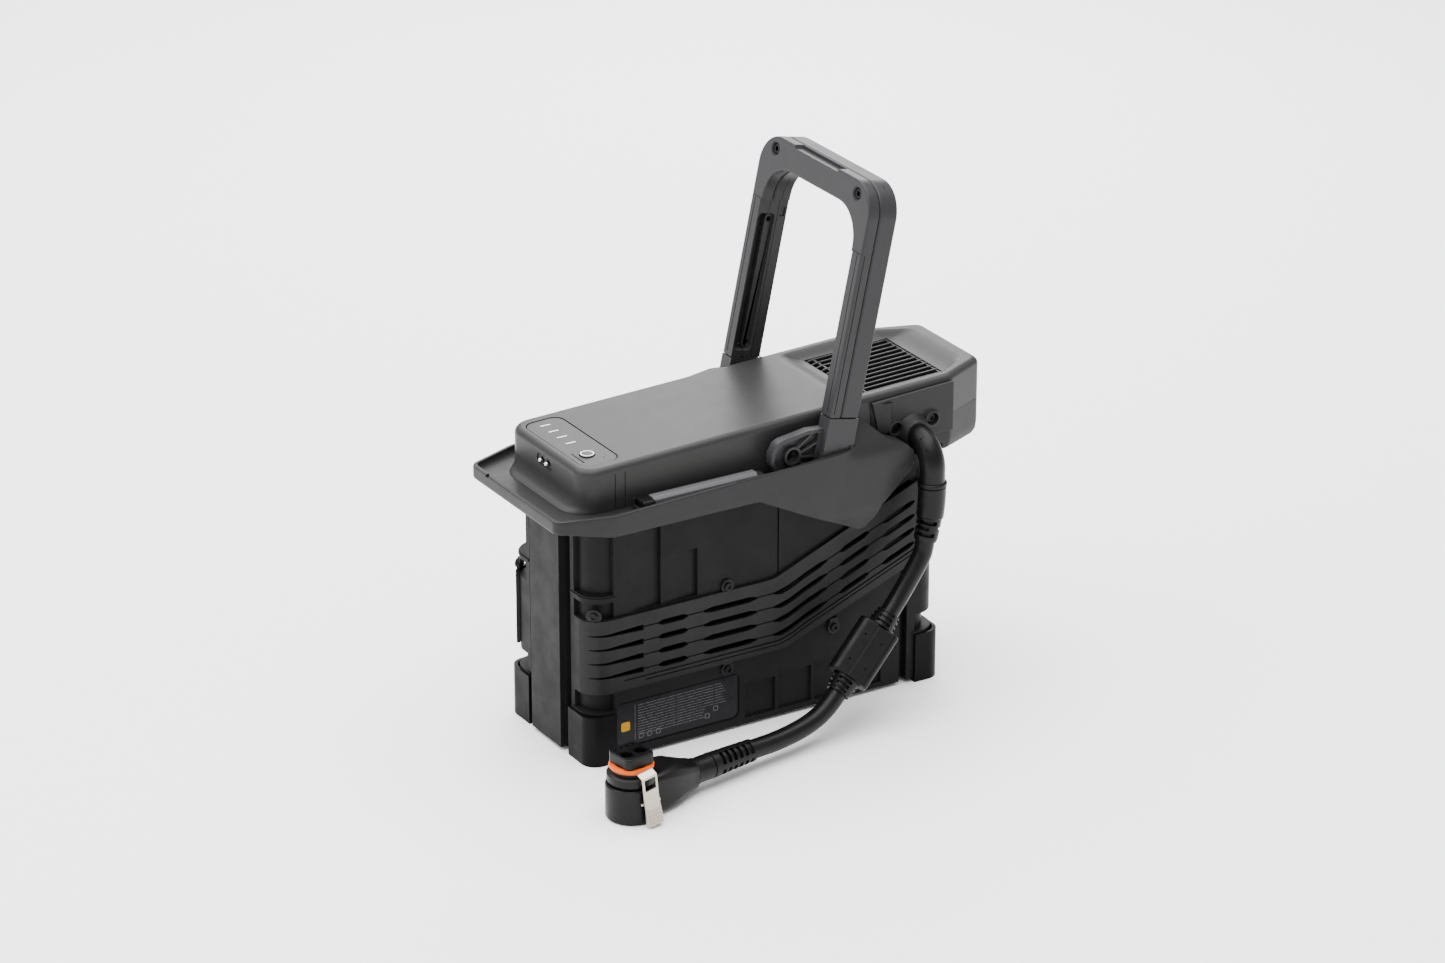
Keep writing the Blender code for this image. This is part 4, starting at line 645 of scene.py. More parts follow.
def makePlug():
    values = {"radius": 0.021, "baseTop": 0.0298, "ringTop": 0.0390, "sealZ": 0.0425,
        "sealThick": 0.0042, "headHalf": 0.0138, "headCorner": 0.0052, "headTop": 0.056, "leadZ": 0.0175,
        "neckStart": 0.050, "neckEnd": 0.079, "sockets": [(-0.0068, -0.0030), (0.0068, -0.0030)],
        "signals": [(-0.0085, 0.0090), (-0.0030, 0.0090), (0.0030, 0.0090), (0.0085, 0.0090)]}
    radius = values["radius"]
    body = turned("plugBody", [(radius - 0.0022, 0.0), (radius - 0.0008, 0.0006), (radius, 0.0020),
        (radius, values["baseTop"] - 0.0012), (radius - 0.0010, values["baseTop"]),
        (radius - 0.0034, values["baseTop"] + 0.0001), (radius - 0.0034, values["baseTop"] + 0.0021),
        (radius - 0.0016, values["baseTop"] + 0.0023), (radius - 0.0012, values["baseTop"] + 0.0030),
        (radius - 0.0012, values["ringTop"] - 0.0008), (radius - 0.0020, values["ringTop"]),
        (radius - 0.0050, values["ringTop"] + 0.0012), (radius - 0.0050, values["sealZ"] - gap)],
        (0, 0, 0), (0, 0, 1), 56)
    sections = []
    for along, halfW, low, high, cut in ((0.006, 0.0168, 0.0016, 0.0350, 0.0035),
            (0.024, 0.0178, 0.0016, 0.0362, 0.0055), (0.038, 0.0168, 0.0022, 0.0362, 0.0078),
            (0.054, 0.0122, 0.0056, 0.0304, 0.0066), (0.061, 0.0108, 0.0068, 0.0284, 0.0056)):
        outline = rounded([(-halfW, low), (halfW, low), (halfW, high), (-halfW, high)], cut, 2)
        sections.append([(along, a, b) for a, b in outline])
    shell = soften(loft("backShell", sections), 0.0009, 2, 18)
    neck = turned("plugNeck", [(0.0102, values["neckStart"]), (0.0112, 0.0600), (0.0112, 0.0636),
        (0.0105, 0.0650), (0.0105, values["neckEnd"] - 0.0006), (0.0099, values["neckEnd"])],
        (0, 0, values["leadZ"]), (1, 0, 0), 40)
    fuse(body, shell, neck)
    pinHole = rod("sidePinHole", 0.0011, 0.0, 0.01, (-0.0060, -radius + 0.0030, 0.0315),
        (-0.28, -0.96, 0), 16)
    cutAway(body, pinHole)
    settle(body, plugPlace)

    half = values["headHalf"]
    square = rounded(rectangle(-half, half, -half, half), values["headCorner"], 8)
    inner = [(a * 0.84, b * 0.84) for a, b in square]
    head = loft("plugHead", [[(a, b, level) for a, b in shape] for shape,
        level in ((inner, values["sealZ"]), (inner, values["sealZ"] + values["sealThick"]),
        (square, values["sealZ"] + values["sealThick"] + gap), (square, values["headTop"]))])
    soften(head, 0.0011, 3, 50)
    holes = []
    for a, b in values["sockets"]:
        holes.append(turned("powerSocket", [(0.0050, values["headTop"] - 0.0085),
            (0.0050, values["headTop"] - 0.001), (0.0057, values["headTop"] + 0.0005)], (a, b, 0),
            (0, 0, 1), 32))
    for a, b in values["signals"]:
        holes.append(rod("signalSocket", 0.0011, values["headTop"] - 0.004, values["headTop"] + 0.004,
            (a, b, 0), (0, 0, 1), 14))
    cutGroup(head, holes)
    settle(head, plugPlace)

    seal = turned("faceSeal", [(0.0171 + 0.0010 * math.sin(math.pi * k / 8),
        values["sealZ"] + gap + (values["sealThick"] - 2 * gap) * k / 8) for k in range(9)], (0, 0, 0),
        (0, 0, 1), 56)
    sealHole = rod("sealHole", 0.0138, 0.02, 0.08, (0, 0, 0), (0, 0, 1), 48)
    cutAway(seal, sealHole)
    settle(seal, plugPlace)

    dress(body, "plugPlastic", replaces=("plug_body",))
    dress(head, "plugPlastic", replaces=("plug_head",))
    dress(seal, "sealSilicone", replaces=("plug_seal",))

    contacts = []
    for number, (a, b) in enumerate(values["sockets"], 1):
        contact = turned("powerPin%d" % number,
            [(0.0017, values["headTop"] - 0.0083), (0.0017, values["headTop"] - 0.0034),
            (0.0010, values["headTop"] - 0.0026)], (a, b, 0), (0, 0, 1), 20)
        settle(contact, plugPlace)
        dress(contact, "darkSteel", replaces=("power_contact_%d" % number,))
        contacts.append(contact)
    return [body, head, seal] + contacts


def makeGrommet():
    values = {"start": 0.079 + gap, "end": 0.1220, "slots": 6}
    steps = 24
    spine, radii = [], []
    for step in range(steps + 1):
        t = step / steps
        spine.append(Vector((values["start"] + (values["end"] - values["start"]) * t, 0,
            leadValues["plugZ"])))
        radii.append(0.0107 - 0.0014 * t)
    grommet = sweep("plugGrommet", spine, radii, 40)
    cutGroup(grommet, slotsRound("grommet", spine[3:-1], values["slots"], 4, 0.0034, 0.0096, 0.0024, 45,
        66))
    settle(grommet, plugPlace)
    dress(soften(grommet, 0.0003), "leadRubber", replaces=("plug_grommet",))
    return [grommet]


def makeLatch():
    values = {"width": 0.0145, "out": 0.024, "pivotZ": 0.0205, "ribs": 5, "skew": 6.0}
    half = values["width"] / 2
    outline = [(0.0006, -0.0185), (0.0020, -0.0192), (0.0058, -0.0182), (0.0040, -0.0090), (0.0026, 0.0),
        (0.0020, 0.0060), (0.0020, 0.0235), (-0.0030, 0.0262), (-0.0048, 0.0262), (-0.0048, 0.0250),
        (0.0004, 0.0226), (0.0004, 0.0060), (0.0010, -0.0060)]
    lever = slab("latchLever", outline, "y", -half, half)
    window = block("latchWindow", (-0.01, -half + 0.0019, 0.0118), (0.0105, half - 0.0019, 0.0218))
    cutAway(lever, window)
    soften(lever, 0.0004, 2, 50)
    ribs = []
    for number in range(values["ribs"]):
        z = -0.0165 + number * 0.0030
        x = 0.0057 - (z + 0.0182) * 0.19
        ribs.append(turned("latchRib%d" % number, [(0.0011, -half + 0.0009), (0.0011, half - 0.0009)],
            (x, 0, z), (0, 1, 0), 16))
    fuse(lever, *ribs)
    turn = Matrix.Rotation(plugAngle - math.pi / 2, 4, "Z")
    hinge = Matrix.Translation(plugCentre + turn.to_3x3() @ Vector((values["out"], 0, values["pivotZ"])))
    settle(lever, hinge @ turn @ Matrix.Rotation(math.radians(values["skew"]), 4, "X"))
    dress(lever, "brightSteel", "plug_latch", replaces=("plug_latch",))
    return [lever]


leadPieces = makeElbow() + makeCollar() + makeFerrite() + makePlug() + makeGrommet() + makeLatch()
print("output lead made, %.3f m" % lineLength(leadLine))


# tub

def makeTub():
    values = {"base": 0.003, "top": 0.205, "corner": tubCorner, "wall": 0.008, "panelProud": 0.005,
        "panelHalf": 0.0235, "pocketIn": 0.0045, "pocketReach": 0.0225, "pocketBack": 0.0245,
        "pockets": [(0.147, 0.2045), (0.1255, 0.141), (0.0450, 0.0605)],
        "sideGrooves": [(0.0620, 0.0660, 0.1285, 0.2045, 0.0040),
        (0.0970, 0.1000, 0.1285, 0.1700, 0.0036), (0.1750, 0.1765, 0.1285, 0.2045, 0.0016),
        (0.2940, 0.3010, 0.0030, 0.1150, 0.0070)],
        "sideCells": [(0.1450, 0.1735, 0.0075, 0.0380), (0.1770, 0.2080, 0.0075, 0.0400),
        (0.2115, 0.2760, 0.0075, 0.0425)], "label": (0.0235, 0.1395, 0.0095, 0.0500),
        "frontGrooves": (0.0240, 0.0330), "grooveDepth": 0.0070}
    base, top = values["base"], values["top"]
    outline = rounded(rectangle(frontX, rearX, -sideY, sideY), values["corner"], 10)
    tub = slab("tubShell", outline, "z", base, top)
    panel = block("frontPanel", (frontX - values["panelProud"], -values["panelHalf"], base),
        (frontX + 0.002, values["panelHalf"], top))
    fuse(tub, panel)
    tools = []
    for side in (-1, 1):
        for x0, x1, z0, z1, depth in values["sideGrooves"]:
            ys = span(side, sideY - depth, sideY + 0.01)
            tools.append(block("sideGroove", (frontX + x0, ys[0], z0), (frontX + x1, ys[1], z1)))
        for x0, x1, z0, z1 in values["sideCells"]:
            ys = span(side, sideY - 0.0028, sideY + 0.01)
            tools.append(block("sideCell", (frontX + x0, ys[0], z0), (frontX + x1, ys[1], z1)))
        for end in (-1, 1):
            g0, g1 = values["frontGrooves"]
            wallX = frontX if end < 0 else rearX
            xs = sorted((wallX - end * values["grooveDepth"], wallX + end * 0.02))
            ys = span(side, g0 + gap, g1)
            tools.append(block("endGroove", (xs[0], ys[0], base - 0.001), (xs[1], ys[1], top + 0.001)))
    for x0, x1, z0, z1, d0, d1 in ((0.036, 0.062, 0.1285, 0.2046, 0.0, 0.0032),
            (0.066, 0.097, 0.1285, 0.1700, 0.0004, 0.0030)):
        for side in (-1, 1):
            plan = [(frontX + x0, side * (sideY - d0)), (frontX + x1 + gap, side * (sideY - d1)),
                (frontX + x1 + gap, side * (sideY + 0.004)), (frontX + x0, side * (sideY + 0.004))]
            tools.append(slab("hollowPanel", plan, "z", z0, z1))
    cutAway(tub, *tools)
    x0, x1, z0, z1 = values["label"]
    seat = slab("labelSeat", rounded(rectangle(frontX + x0, frontX + x1, z0, z1), 0.006, 5), "y",
        -sideY - 0.01, -sideY + 0.0013)
    cutAway(tub, seat)
    inset = values["pocketIn"]
    for low, high in values["pockets"]:
        for end in (-1, 1):
            for side in (-1, 1):
                wallX = frontX if end < 0 else rearX
                xs = sorted((wallX - end * values["pocketReach"], wallX + end * 0.01))
                ys = span(side, sideY - values["pocketBack"], sideY + 0.01)
                corner = block("cornerPocket", (xs[0], ys[0], low), (xs[1], ys[1], high))
                keep = slab("cornerKeep", rounded(rectangle(frontX + inset, rearX - inset,
                    -sideY + inset, sideY - inset), values["corner"], 10), "z", low - 0.01, high + 0.01)
                cutAway(corner, keep)
                cutAway(tub, corner)
    finHollow = finOutline(0.021, 0.004)
    for side in (-1, 1):
        ys = span(side, sideY - 0.0060, sideY + 0.01)
        cutAway(tub, slab("finHollow", finHollow, "y", *ys))
    for level in (0.1437, 0.0432):
        for end in (-1, 1):
            for side in (-1, 1):
                wallX = frontX if end < 0 else rearX
                ring = slab("cornerRib", rounded(rectangle(frontX - 0.0009, rearX + 0.0009,
                    -sideY - 0.0009, sideY + 0.0009), values["corner"] + 0.0009, 12), "z", level,
                    level + 0.0019)
                xs = sorted((wallX - end * 0.0245, wallX + end * 0.01))
                ys = span(side, sideY - 0.0290, sideY + 0.01)
                keep = block("cornerRibKeep", (xs[0], ys[0], level - 0.01), (xs[1], ys[1], level + 0.01))
                fuse(tub, boolean(ring, [keep], "INTERSECT"))
    wall = values["wall"]
    hollow = slab("tubHollow", rounded(rectangle(frontX + wall + 0.003, rearX - wall - 0.003,
        -sideY + wall + 0.003, sideY - wall - 0.003), 0.010, 4), "z", 0.0060, top + 0.01)
    cutAway(tub, hollow)
    soften(tub, 0.0007, 2, 40)
    dress(tub, "tubPlastic", replaces=("tub",))


finValues = {"front": -0.0035, "rear": 0.3255, "bend": 0.176, "low": 0.063, "high": 0.127,
    "rearLow": 0.1180, "rearHigh": 0.1900, "thick": 0.0030, "rows": 4, "pitch": 0.0123, "slot": 0.0052,
    "segments": [(0.002, 0.048), (0.062, 0.089), (0.104, 0.154), (0.170, 0.221), (0.233, 0.261),
    (0.274, 0.305)], "screws": [(0.0058, 0.1312), (0.1270, 0.1306), (0.1270, 0.0570), (0.2285, 0.0700)]}


def finOutline(shrinkX=0.0, shrinkZ=0.0):
    values = finValues
    front, rear = frontX + values["front"] + shrinkX, frontX + values["rear"] - shrinkX
    bend = frontX + values["bend"]
    return rounded([(front, values["low"] + shrinkZ), (bend + 0.004, values["low"] + shrinkZ),
        (rear, values["rearLow"] + shrinkZ), (rear, values["rearHigh"] - shrinkZ),
        (bend - 0.006, values["high"] - shrinkZ), (front, values["high"] - shrinkZ)],
        [0.004, 0.030, 0.004, 0.004, 0.030, 0.004], 6)


def finSlope(x, low):
    # height of a line that is level as far as the bend and then climbs with the plate
    values = finValues
    bend = values["bend"]
    climb = ((values["rearLow"] - values["low"])
        + (values["rearHigh"] - values["high"])) / 2 / (values["rear"] - bend)
    past = max(0.0, x - bend)
    ease = min(1.0, past / 0.02)
    return low + climb * past * (0.5 + 0.5 * ease)


def wrapCorner(piece, side, bend=tubCorner):
    # both ends of a flat piece are laid round the tub's rounded corners
    pick(piece)
    bpy.ops.object.mode_set(mode="EDIT")
    for step in range(16):
        for end, wallX in ((-1, frontX), (1, rearX)):
            bpy.ops.mesh.select_all(action="SELECT")
            bpy.ops.mesh.bisect(plane_co=(wallX - end * (bend - step * 0.0017), 0, 0), plane_no=(1, 0, 0))
    bpy.ops.object.mode_set(mode="OBJECT")
    for vert in piece.data.vertices:
        vert.co.x, vert.co.y = wrapPlace(vert.co.x, side, side * vert.co.y - sideY)[0]


def wrapPlace(x, side, lift, bend=tubCorner):
    # where a point on the flat piece ends up, with the way it then faces
    for end, wallX in ((-1, frontX), (1, rearX)):
        start = wallX - end * bend
        angle = end * (x - start) / bend
        if angle > 0:
            reach = bend + lift
            return ((start + end * reach * math.sin(angle),
                side * (sideY - bend + reach * math.cos(angle))),
                (end * math.sin(angle), side * math.cos(angle)))
    return (x, side * (sideY + lift)), (0, side)


def makeFinPlate(side, name):
    values = finValues
    back = side * (sideY + gap)
    face = side * (sideY + gap + values["thick"])
    ys = sorted((back, face))
    plate = slab(name, finOutline(), "y", *ys)
    for x, z in values["screws"]:
        boss = rod("ear", 0.0058, 0.0, values["thick"] - 0.0008, (frontX + x, back, z), (0, side, 0), 28)
        fuse(plate, boss)
        middle = (values["low"] + values["high"]) / 2
        reach = 0.008 if z < middle else -0.006
        ys = sorted((back, side * (sideY + gap + values["thick"] - 0.0008)))
        fuse(plate, block("earTab", (frontX + x - 0.0040, ys[0], min(z, z + reach)),
            (frontX + x + 0.0040, ys[1], max(z, z + reach))))
    soften(plate, 0.0009, 3, 45)
    tools = []
    through = span(side, sideY - 0.002, sideY + 0.02)
    shallow = span(side, sideY + gap + values["thick"] - 0.0011, sideY + 0.02)
    for row in range(values["rows"]):
        middle = values["high"] - 0.0127 - row * values["pitch"]
        half = values["slot"] / 2
        for number, (x0, x1) in enumerate(values["segments"]):
            steps = 7
            lower, upper = [], []
            for k in range(steps + 1):
                x = x0 + (x1 - x0) * k / steps
                z = finSlope(x, middle)
                grow = min(1.0, 0.35 + 0.65 * min(k, steps - k))
                if number == 0:
                    grow = 0.12 + 0.88 * (k / steps) ** 0.8
                lower.append((frontX + x, z - half * grow))
                upper.append((frontX + x, z + half * grow * 0.92))
            tools.append(slab("slot%d_%d" % (row, number), lower + upper[::-1], "y", *through))
    cutGroup(plate, tools)
    lines = []
    for row in range(values["rows"]):
        middle = values["high"] - 0.0127 - row * values["pitch"]
        lines.append((0.046, 0.290, middle + 0.0004, 0.0006))
    lines += [(0.030, 0.322, values["low"] + 0.0085, 0.0008),
        (0.050, 0.322, values["low"] + 0.0048, 0.0006)]
    for number, (x0, x1, level, halfHeight) in enumerate(lines):
        steps = 26
        lower, upper = [], []
        for k in range(steps + 1):
            x = x0 + (x1 - x0) * k / steps
            z = finSlope(x, level)
            lower.append((frontX + x, z - halfHeight))
            upper.append((frontX + x, z + halfHeight))
        cutAway(plate, slab("line%d" % number, lower + upper[::-1], "y", *shallow))
    wrapCorner(plate, side)
    dress(plate, "finPlastic", replaces=("fin_plate_" + sideTag[side].lower(),))
    # a black sheet at the bottom of the fin hollow, behind the slots: painted shade that makes the slots
    # look dark
    ys = span(side, sideY - 0.0059, sideY - 0.0052)
    shade = slab(name + "Shade", finOutline(0.022, 0.006), "y", *ys)
    dress(shade, "blackPlasticAndShade")


def screwHead(name, node, centre, way, radius, height, finish="darkSteel", body="root", recess=0.5):
    head = turned(name, [(radius * 0.96, 0.0), (radius, height * 0.2), (radius, height * 0.75),
        (radius * 0.86, height)], centre, way, 32)
    socket = rod(name + "Socket", radius * recess, height * 0.35, height * 2, centre, way, 6)
    cutAway(head, socket)
    dress(head, finish, body, replaces=(node,) if node else ())
    return head


def makeBumper(end, side, node, name):
    values = {"thick": 0.003, "height": 0.043, "sideLeg": 0.026, "endLeg": 0.034, "corner": 0.0205}
    wallX = frontX if end < 0 else rearX
    outX, outY = wallX + end * values["thick"], side * (sideY + values["thick"])
    inX = wallX - end * (values["sideLeg"] - values["thick"])
    inY = side * (sideY + values["thick"] - values["endLeg"])
    seatX, seatY = wallX + end * gap, side * (sideY + gap)
    shape = [(inX, outY), (outX, outY), (outX, inY), (seatX, inY), (seatX, seatY), (inX, seatY)]
    sizes = [0.0, values["corner"], 0.0, 0.0, values["corner"] - values["thick"], 0.0]
    wall = slab(name, rounded(shape, sizes, 12), "z", 0.0, values["height"])
    foot = slab(name + "Foot", rounded([(inX, outY), (outX, outY), (outX, inY), (inX, inY)],
        [0.0, values["corner"], 0.0, 0.0], 12), "z", 0.0, 0.0027)
    fuse(wall, foot)
    soften(wall, 0.0010, 3, 40)
    dress(wall, "bumperPlastic", replaces=(node,))


makeTub()
print("tub made")
for side, sideName in ((-1, "Left"), (1, "Right")):
    makeFinPlate(side, "finPlate" + sideName)
    for number, (x, z) in enumerate(finValues["screws"], 1):
        (atX, atY), (wayX, wayY) = wrapPlace(frontX + x, side, 2 * gap + finValues["thick"] - 0.0008)
        screwHead("finScrew%s%d" % (sideName, number), "fin_screw_%s_%d" % (sideName.lower(), number),
            (atX, atY, z), (wayX, wayY, 0), 0.0036, 0.0016)
    for end, endName in ((-1, "Front"), (1, "Rear")):
        makeBumper(end, side, "corner_bumper_%s_%s" % (endName.lower(), sideName.lower()),
            "bumper%s%s" % (endName, sideName))
print("fin plates and bumpers made")


# data label

def makeLabel():
    values = {"x0": 0.0250, "x1": 0.1380, "z0": 0.0110, "z1": 0.0485, "rows": 12, "divider": 0.0165}
    y = -sideY + 0.0010
    x0, x1 = frontX + values["x0"], frontX + values["x1"]
    film = slab("dataLabel", rounded(rectangle(x0, x1, values["z0"], values["z1"]),
        [0.001, 0.006, 0.001, 0.001], 4), "y", y - 0.0003, y)
    dress(film, "labelFilm", replaces=("rating_label",))
    front = y - 0.0004
    bar = block("labelDivider", (x0 + values["divider"], front, values["z0"] + 0.003),
        (x0 + values["divider"] + 0.0004, front + 0.0001, values["z1"] - 0.003))
    dress(bar, "labelPrint")
    amber = slab("labelSpot", rounded(rectangle(x0 + 0.0038, x0 + 0.0120, values["z0"] + 0.013,
        values["z0"] + 0.021), 0.0018, 4), "y", front, front + 0.0001)
    dress(amber, "labelAmber")
    rules = []
    for row in range(values["rows"]):
        z = values["z1"] - 0.0044 - row * 0.0024
        at = x0 + values["divider"] + 0.003
        for part in range(9):
            length = 0.0060 + 0.0042 * ((row * 5 + part * 7) % 4) / 3
            if at + length > x1 - 0.005 - 0.020 * (row > 7):
                break
            rules.append(block("labelRule%d_%d" % (row, part), (at, front, z),
                (at + length, front + 0.0001, z + 0.0005)))
            at += length + 0.0009
    for number, (x, z) in enumerate(((0.020, 0.0035), (0.028, 0.0035), (0.036, 0.0035), (0.082, 0.0050),
            (0.090, 0.0100))):
        mark = slab("labelMark%d" % number,
            rounded(rectangle(x0 + x, x0 + x + 0.0046, values["z0"] + z, values["z0"] + z + 0.0046),
            0.0010, 3), "y", front, front + 0.0001)
        inside = slab("labelMarkIn", rounded(rectangle(x0 + x + 0.0007, x0 + x + 0.0039,
            values["z0"] + z + 0.0007, values["z0"] + z + 0.0039), 0.0007, 3), "y", front - 0.001,
            front + 0.001)
        rules.append(cutAway(mark, inside))
    pick(*rules)
    bpy.ops.object.join()
    rules[0].name = "labelRules"
    dress(rules[0], "labelPrint")


makeLabel()


# upper frame

handlePivot = (0.02675, 0.225)
coverLow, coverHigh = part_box("top_cover")
rimX = coverHigh[0]


frameValues = {"low": 0.207, "floor": 0.2195, "top": 0.225, "half": 0.0845, "tipHalf": 0.069,
    "tip": -0.20675, "taper": 0.0445, "rim": 0.0026, "apronRear": 0.11775, "frontLow": 0.2125,
    "lower": [(0.148, 0.2075), (0.166, 0.1985), (0.185, 0.1890), (0.223, 0.1710), (0.243, 0.1608),
    (0.2490, 0.1612), (0.2575, 0.1690), (0.2625, 0.1805), (0.2765, 0.1890), (0.2935, 0.2005)],
    "upper": [(0.2935, 0.2195), (0.2870, 0.2270), (0.2700, 0.2345), (0.2480, 0.2560), (0.2420, 0.2600),
    (0.2330, 0.2340), (0.1480, 0.2290)], "skin": 0.0675}


def framePlan(inset, tipRound, sideRound, rearX1):
    values = frameValues
    tip, half, tipHalf = values["tip"] + inset, values["half"] - inset, values["tipHalf"] - inset * 0.7
    corner = values["tip"] + values["taper"] + inset * 0.4
    return rounded([(tip, -tipHalf), (corner, -half), (rearX1, -half), (rearX1, half), (corner, half),
        (tip, tipHalf)], [tipRound, sideRound, 0.002, 0.002, sideRound, tipRound], 9)


def easeIn(value, low, high):
    t = max(0.0, min(1.0, (value - low) / (high - low)))
    return t * t * (3 - 2 * t)


def apronSkin(x, z):
    # how far out the apron stands: it swells from the band, then leans in above and below
    along = x - frontX + 0.003
    out = 0.0838 + 0.0042 * easeIn(along, 0.146, 0.215) * (1 - 0.5 * easeIn(along, 0.255, 0.295))
    out -= 0.0195 * easeIn(z, 0.2230, 0.2600) * easeIn(along, 0.222, 0.240)
    out -= 0.0065 * (1 - easeIn(z, 0.1600, 0.1830))
    out -= 0.0015 * (1 - easeIn(z, 0.1830, 0.2050)) * (1 - easeIn(along, 0.215, 0.240))
    out -= 0.0050 * easeIn(along, 0.255, 0.295) * (1 - easeIn(z, 0.195, 0.215))
    return out


def makeApron(side):
    values = frameValues
    shift = frontX - 0.003
    lower = [(shift + x, z) for x, z in values["lower"]]
    upper = [(shift + x, z) for x, z in values["upper"]]
    ys = span(side, values["skin"], 0.0800)
    apron = slab("apron", lower + upper, "y", *ys)
    pick(apron)
    bpy.ops.object.mode_set(mode="EDIT")
    for step in range(36):
        bpy.ops.mesh.select_all(action="SELECT")
        bpy.ops.mesh.bisect(plane_co=(shift + 0.150 + step * 0.004, 0, 0), plane_no=(1, 0, 0))
    for step in range(25):
        bpy.ops.mesh.select_all(action="SELECT")
        bpy.ops.mesh.bisect(plane_co=(0, 0, 0.1620 + step * 0.004), plane_no=(0, 0, 1))
    bpy.ops.object.mode_set(mode="OBJECT")
    for vert in apron.data.vertices:
        if abs(vert.co.y) > 0.079:
            vert.co.y = side * apronSkin(vert.co.x, vert.co.z)
    return apron


def makeFrame():
    values = frameValues
    pivotX, pivotZ = handlePivot
    floorRings = []
    for inset, z in ((0.0016, values["low"]), (0.0004, values["low"] + 0.0008),
            (0.0, values["low"] + 0.0022), (0.0, values["floor"])):
        ring = framePlan(inset, 0.009, 0.022, values["apronRear"])
        floorRings.append([(x, y, z + (values["frontLow"] - values["low"]) * (1 - easeIn(x,
            values["tip"] + 0.004, frontX + 0.012)) * (1 if z < values["floor"] else 0)) for x,
            y in ring])
    shell = loft("upperFrame", floorRings)
    wallEnd = pivotX + 0.0465
    rings = []
    for inset, drop in ((0.0, None), (0.0, 0.0014), (0.0005, 0.0003), (0.0014, 0.0)):
        ring = framePlan(inset, 0.009, 0.022, wallEnd)
        rings.append([(x, y,
            values["floor"] - 0.0040 if drop is None else values["top"] + rise * (x - frontX) - drop)
            for x, y in ring])
    wall = loft("bandWall", rings)
    inner = []
    for inset, z in ((0.0052, values["floor"]), (0.0042, values["floor"] + 0.0010),
            (values["rim"] + 0.0008, 0.2225), (values["rim"], 0.2600)):
        inner.append([(x, y, z) for x, y in framePlan(inset, 0.007, 0.020, wallEnd + 0.02)])
    cutAway(wall, loft("trayHollow", inner))
    fuse(shell, wall)
    rearPlan = [(rearX + 0.003, -0.061), (rimX - 0.039, -0.061), (rimX, -0.044), (rimX, 0.044),
        (rimX - 0.039, 0.061), (rearX + 0.003, 0.061)]
    rearBlock = loft("rearBlock", [[(x, y, z) for x,
        y in rounded([(a - back * 0.4 if a > rearX + 0.01 else a, b) for a, b in rearPlan],
        [0.001, 0.009, 0.008, 0.008, 0.009, 0.001], 6)] for back,
        z in ((0.010, 0.2030), (0.003, 0.2060), (0.0, 0.2120), (0.0, 0.2330))])
    tail = block("frameTail", (values["apronRear"] - 0.001, -0.061, values["low"] + 0.001),
        (rearX + 0.006, 0.061, values["floor"]))
    fuse(shell, tail, rearBlock)
    for side in (-1, 1):
        fuse(shell, makeApron(side))
        shoulder = [(pivotX + 0.0345, 0.2110), (pivotX + 0.0655, 0.2110), (pivotX + 0.0655, 0.2320),
            (pivotX + 0.0400, 0.2560), (pivotX + 0.0345, 0.2560)]
        ys = span(side, 0.0627, 0.0685)
        fuse(shell, slab("shoulder", shoulder, "y", *ys))
        ys = span(side, 0.0654, 0.0833)
        cutAway(shell, slab("armPocket", [(pivotX - 0.047, 0.177), (pivotX + 0.0335, 0.177),
            (pivotX + 0.0355, 0.32), (pivotX - 0.047, 0.32)], "y", *ys))
        cutAway(shell, block("legChannel", (pivotX - 0.077, ys[0], 0.2270), (pivotX - 0.046, ys[1], 0.32)))
        ys = span(side, sideY - 0.002, 0.0664)
        cutAway(shell, block("armRelief", (pivotX - 0.047, ys[0], 0.137),
            (pivotX + 0.0355, ys[1], values["low"])))
        ys = span(side, 0.0627, 0.0656)
        cheek = slab("pivotCheek", rounded(rectangle(pivotX - 0.013, pivotX + 0.013, 0.2175, 0.234),
            0.004, 4), "y", *ys)
        fuse(shell, cheek)
        bore = rod("pinBore", 0.0044, -0.004, 0.0135, (pivotX, side * 0.0720, pivotZ), (0, side, 0), 28)
        cutAway(shell, bore)
    notch = block("rimNotch", (values["tip"] - 0.001, 0.0380, 0.2218),
        (values["tip"] + 0.006, 0.0440, 0.2300))
    well = slab("cellOpening", rounded(rectangle(frontX + 0.016, rearX - 0.016, -0.049, 0.049), 0.006,
        3), "z", 0.19, 0.2225)
    hollow = block("rearHollow", (rearX + 0.008, -0.038, 0.2155), (rimX - 0.006, 0.038, 0.25))
    leadNotch = rod("leadNotch", leadValues["clear"], -0.004, 0.05,
        (leadX, -0.0615, leadValues["exitZ"]), (0, -1, 0), 36)
    leadDrop = rod("leadDrop", 0.0118, -0.08, 0.01, (leadX, leadY, leadValues["exitZ"]), (0, 0, 1), 36)
    cutAway(shell, notch, well, hollow, leadNotch, leadDrop)
    dress(shell, "framePlastic", replaces=("upper_frame",), angle=34)


makeFrame()
print("upper frame made")


# ledge strips

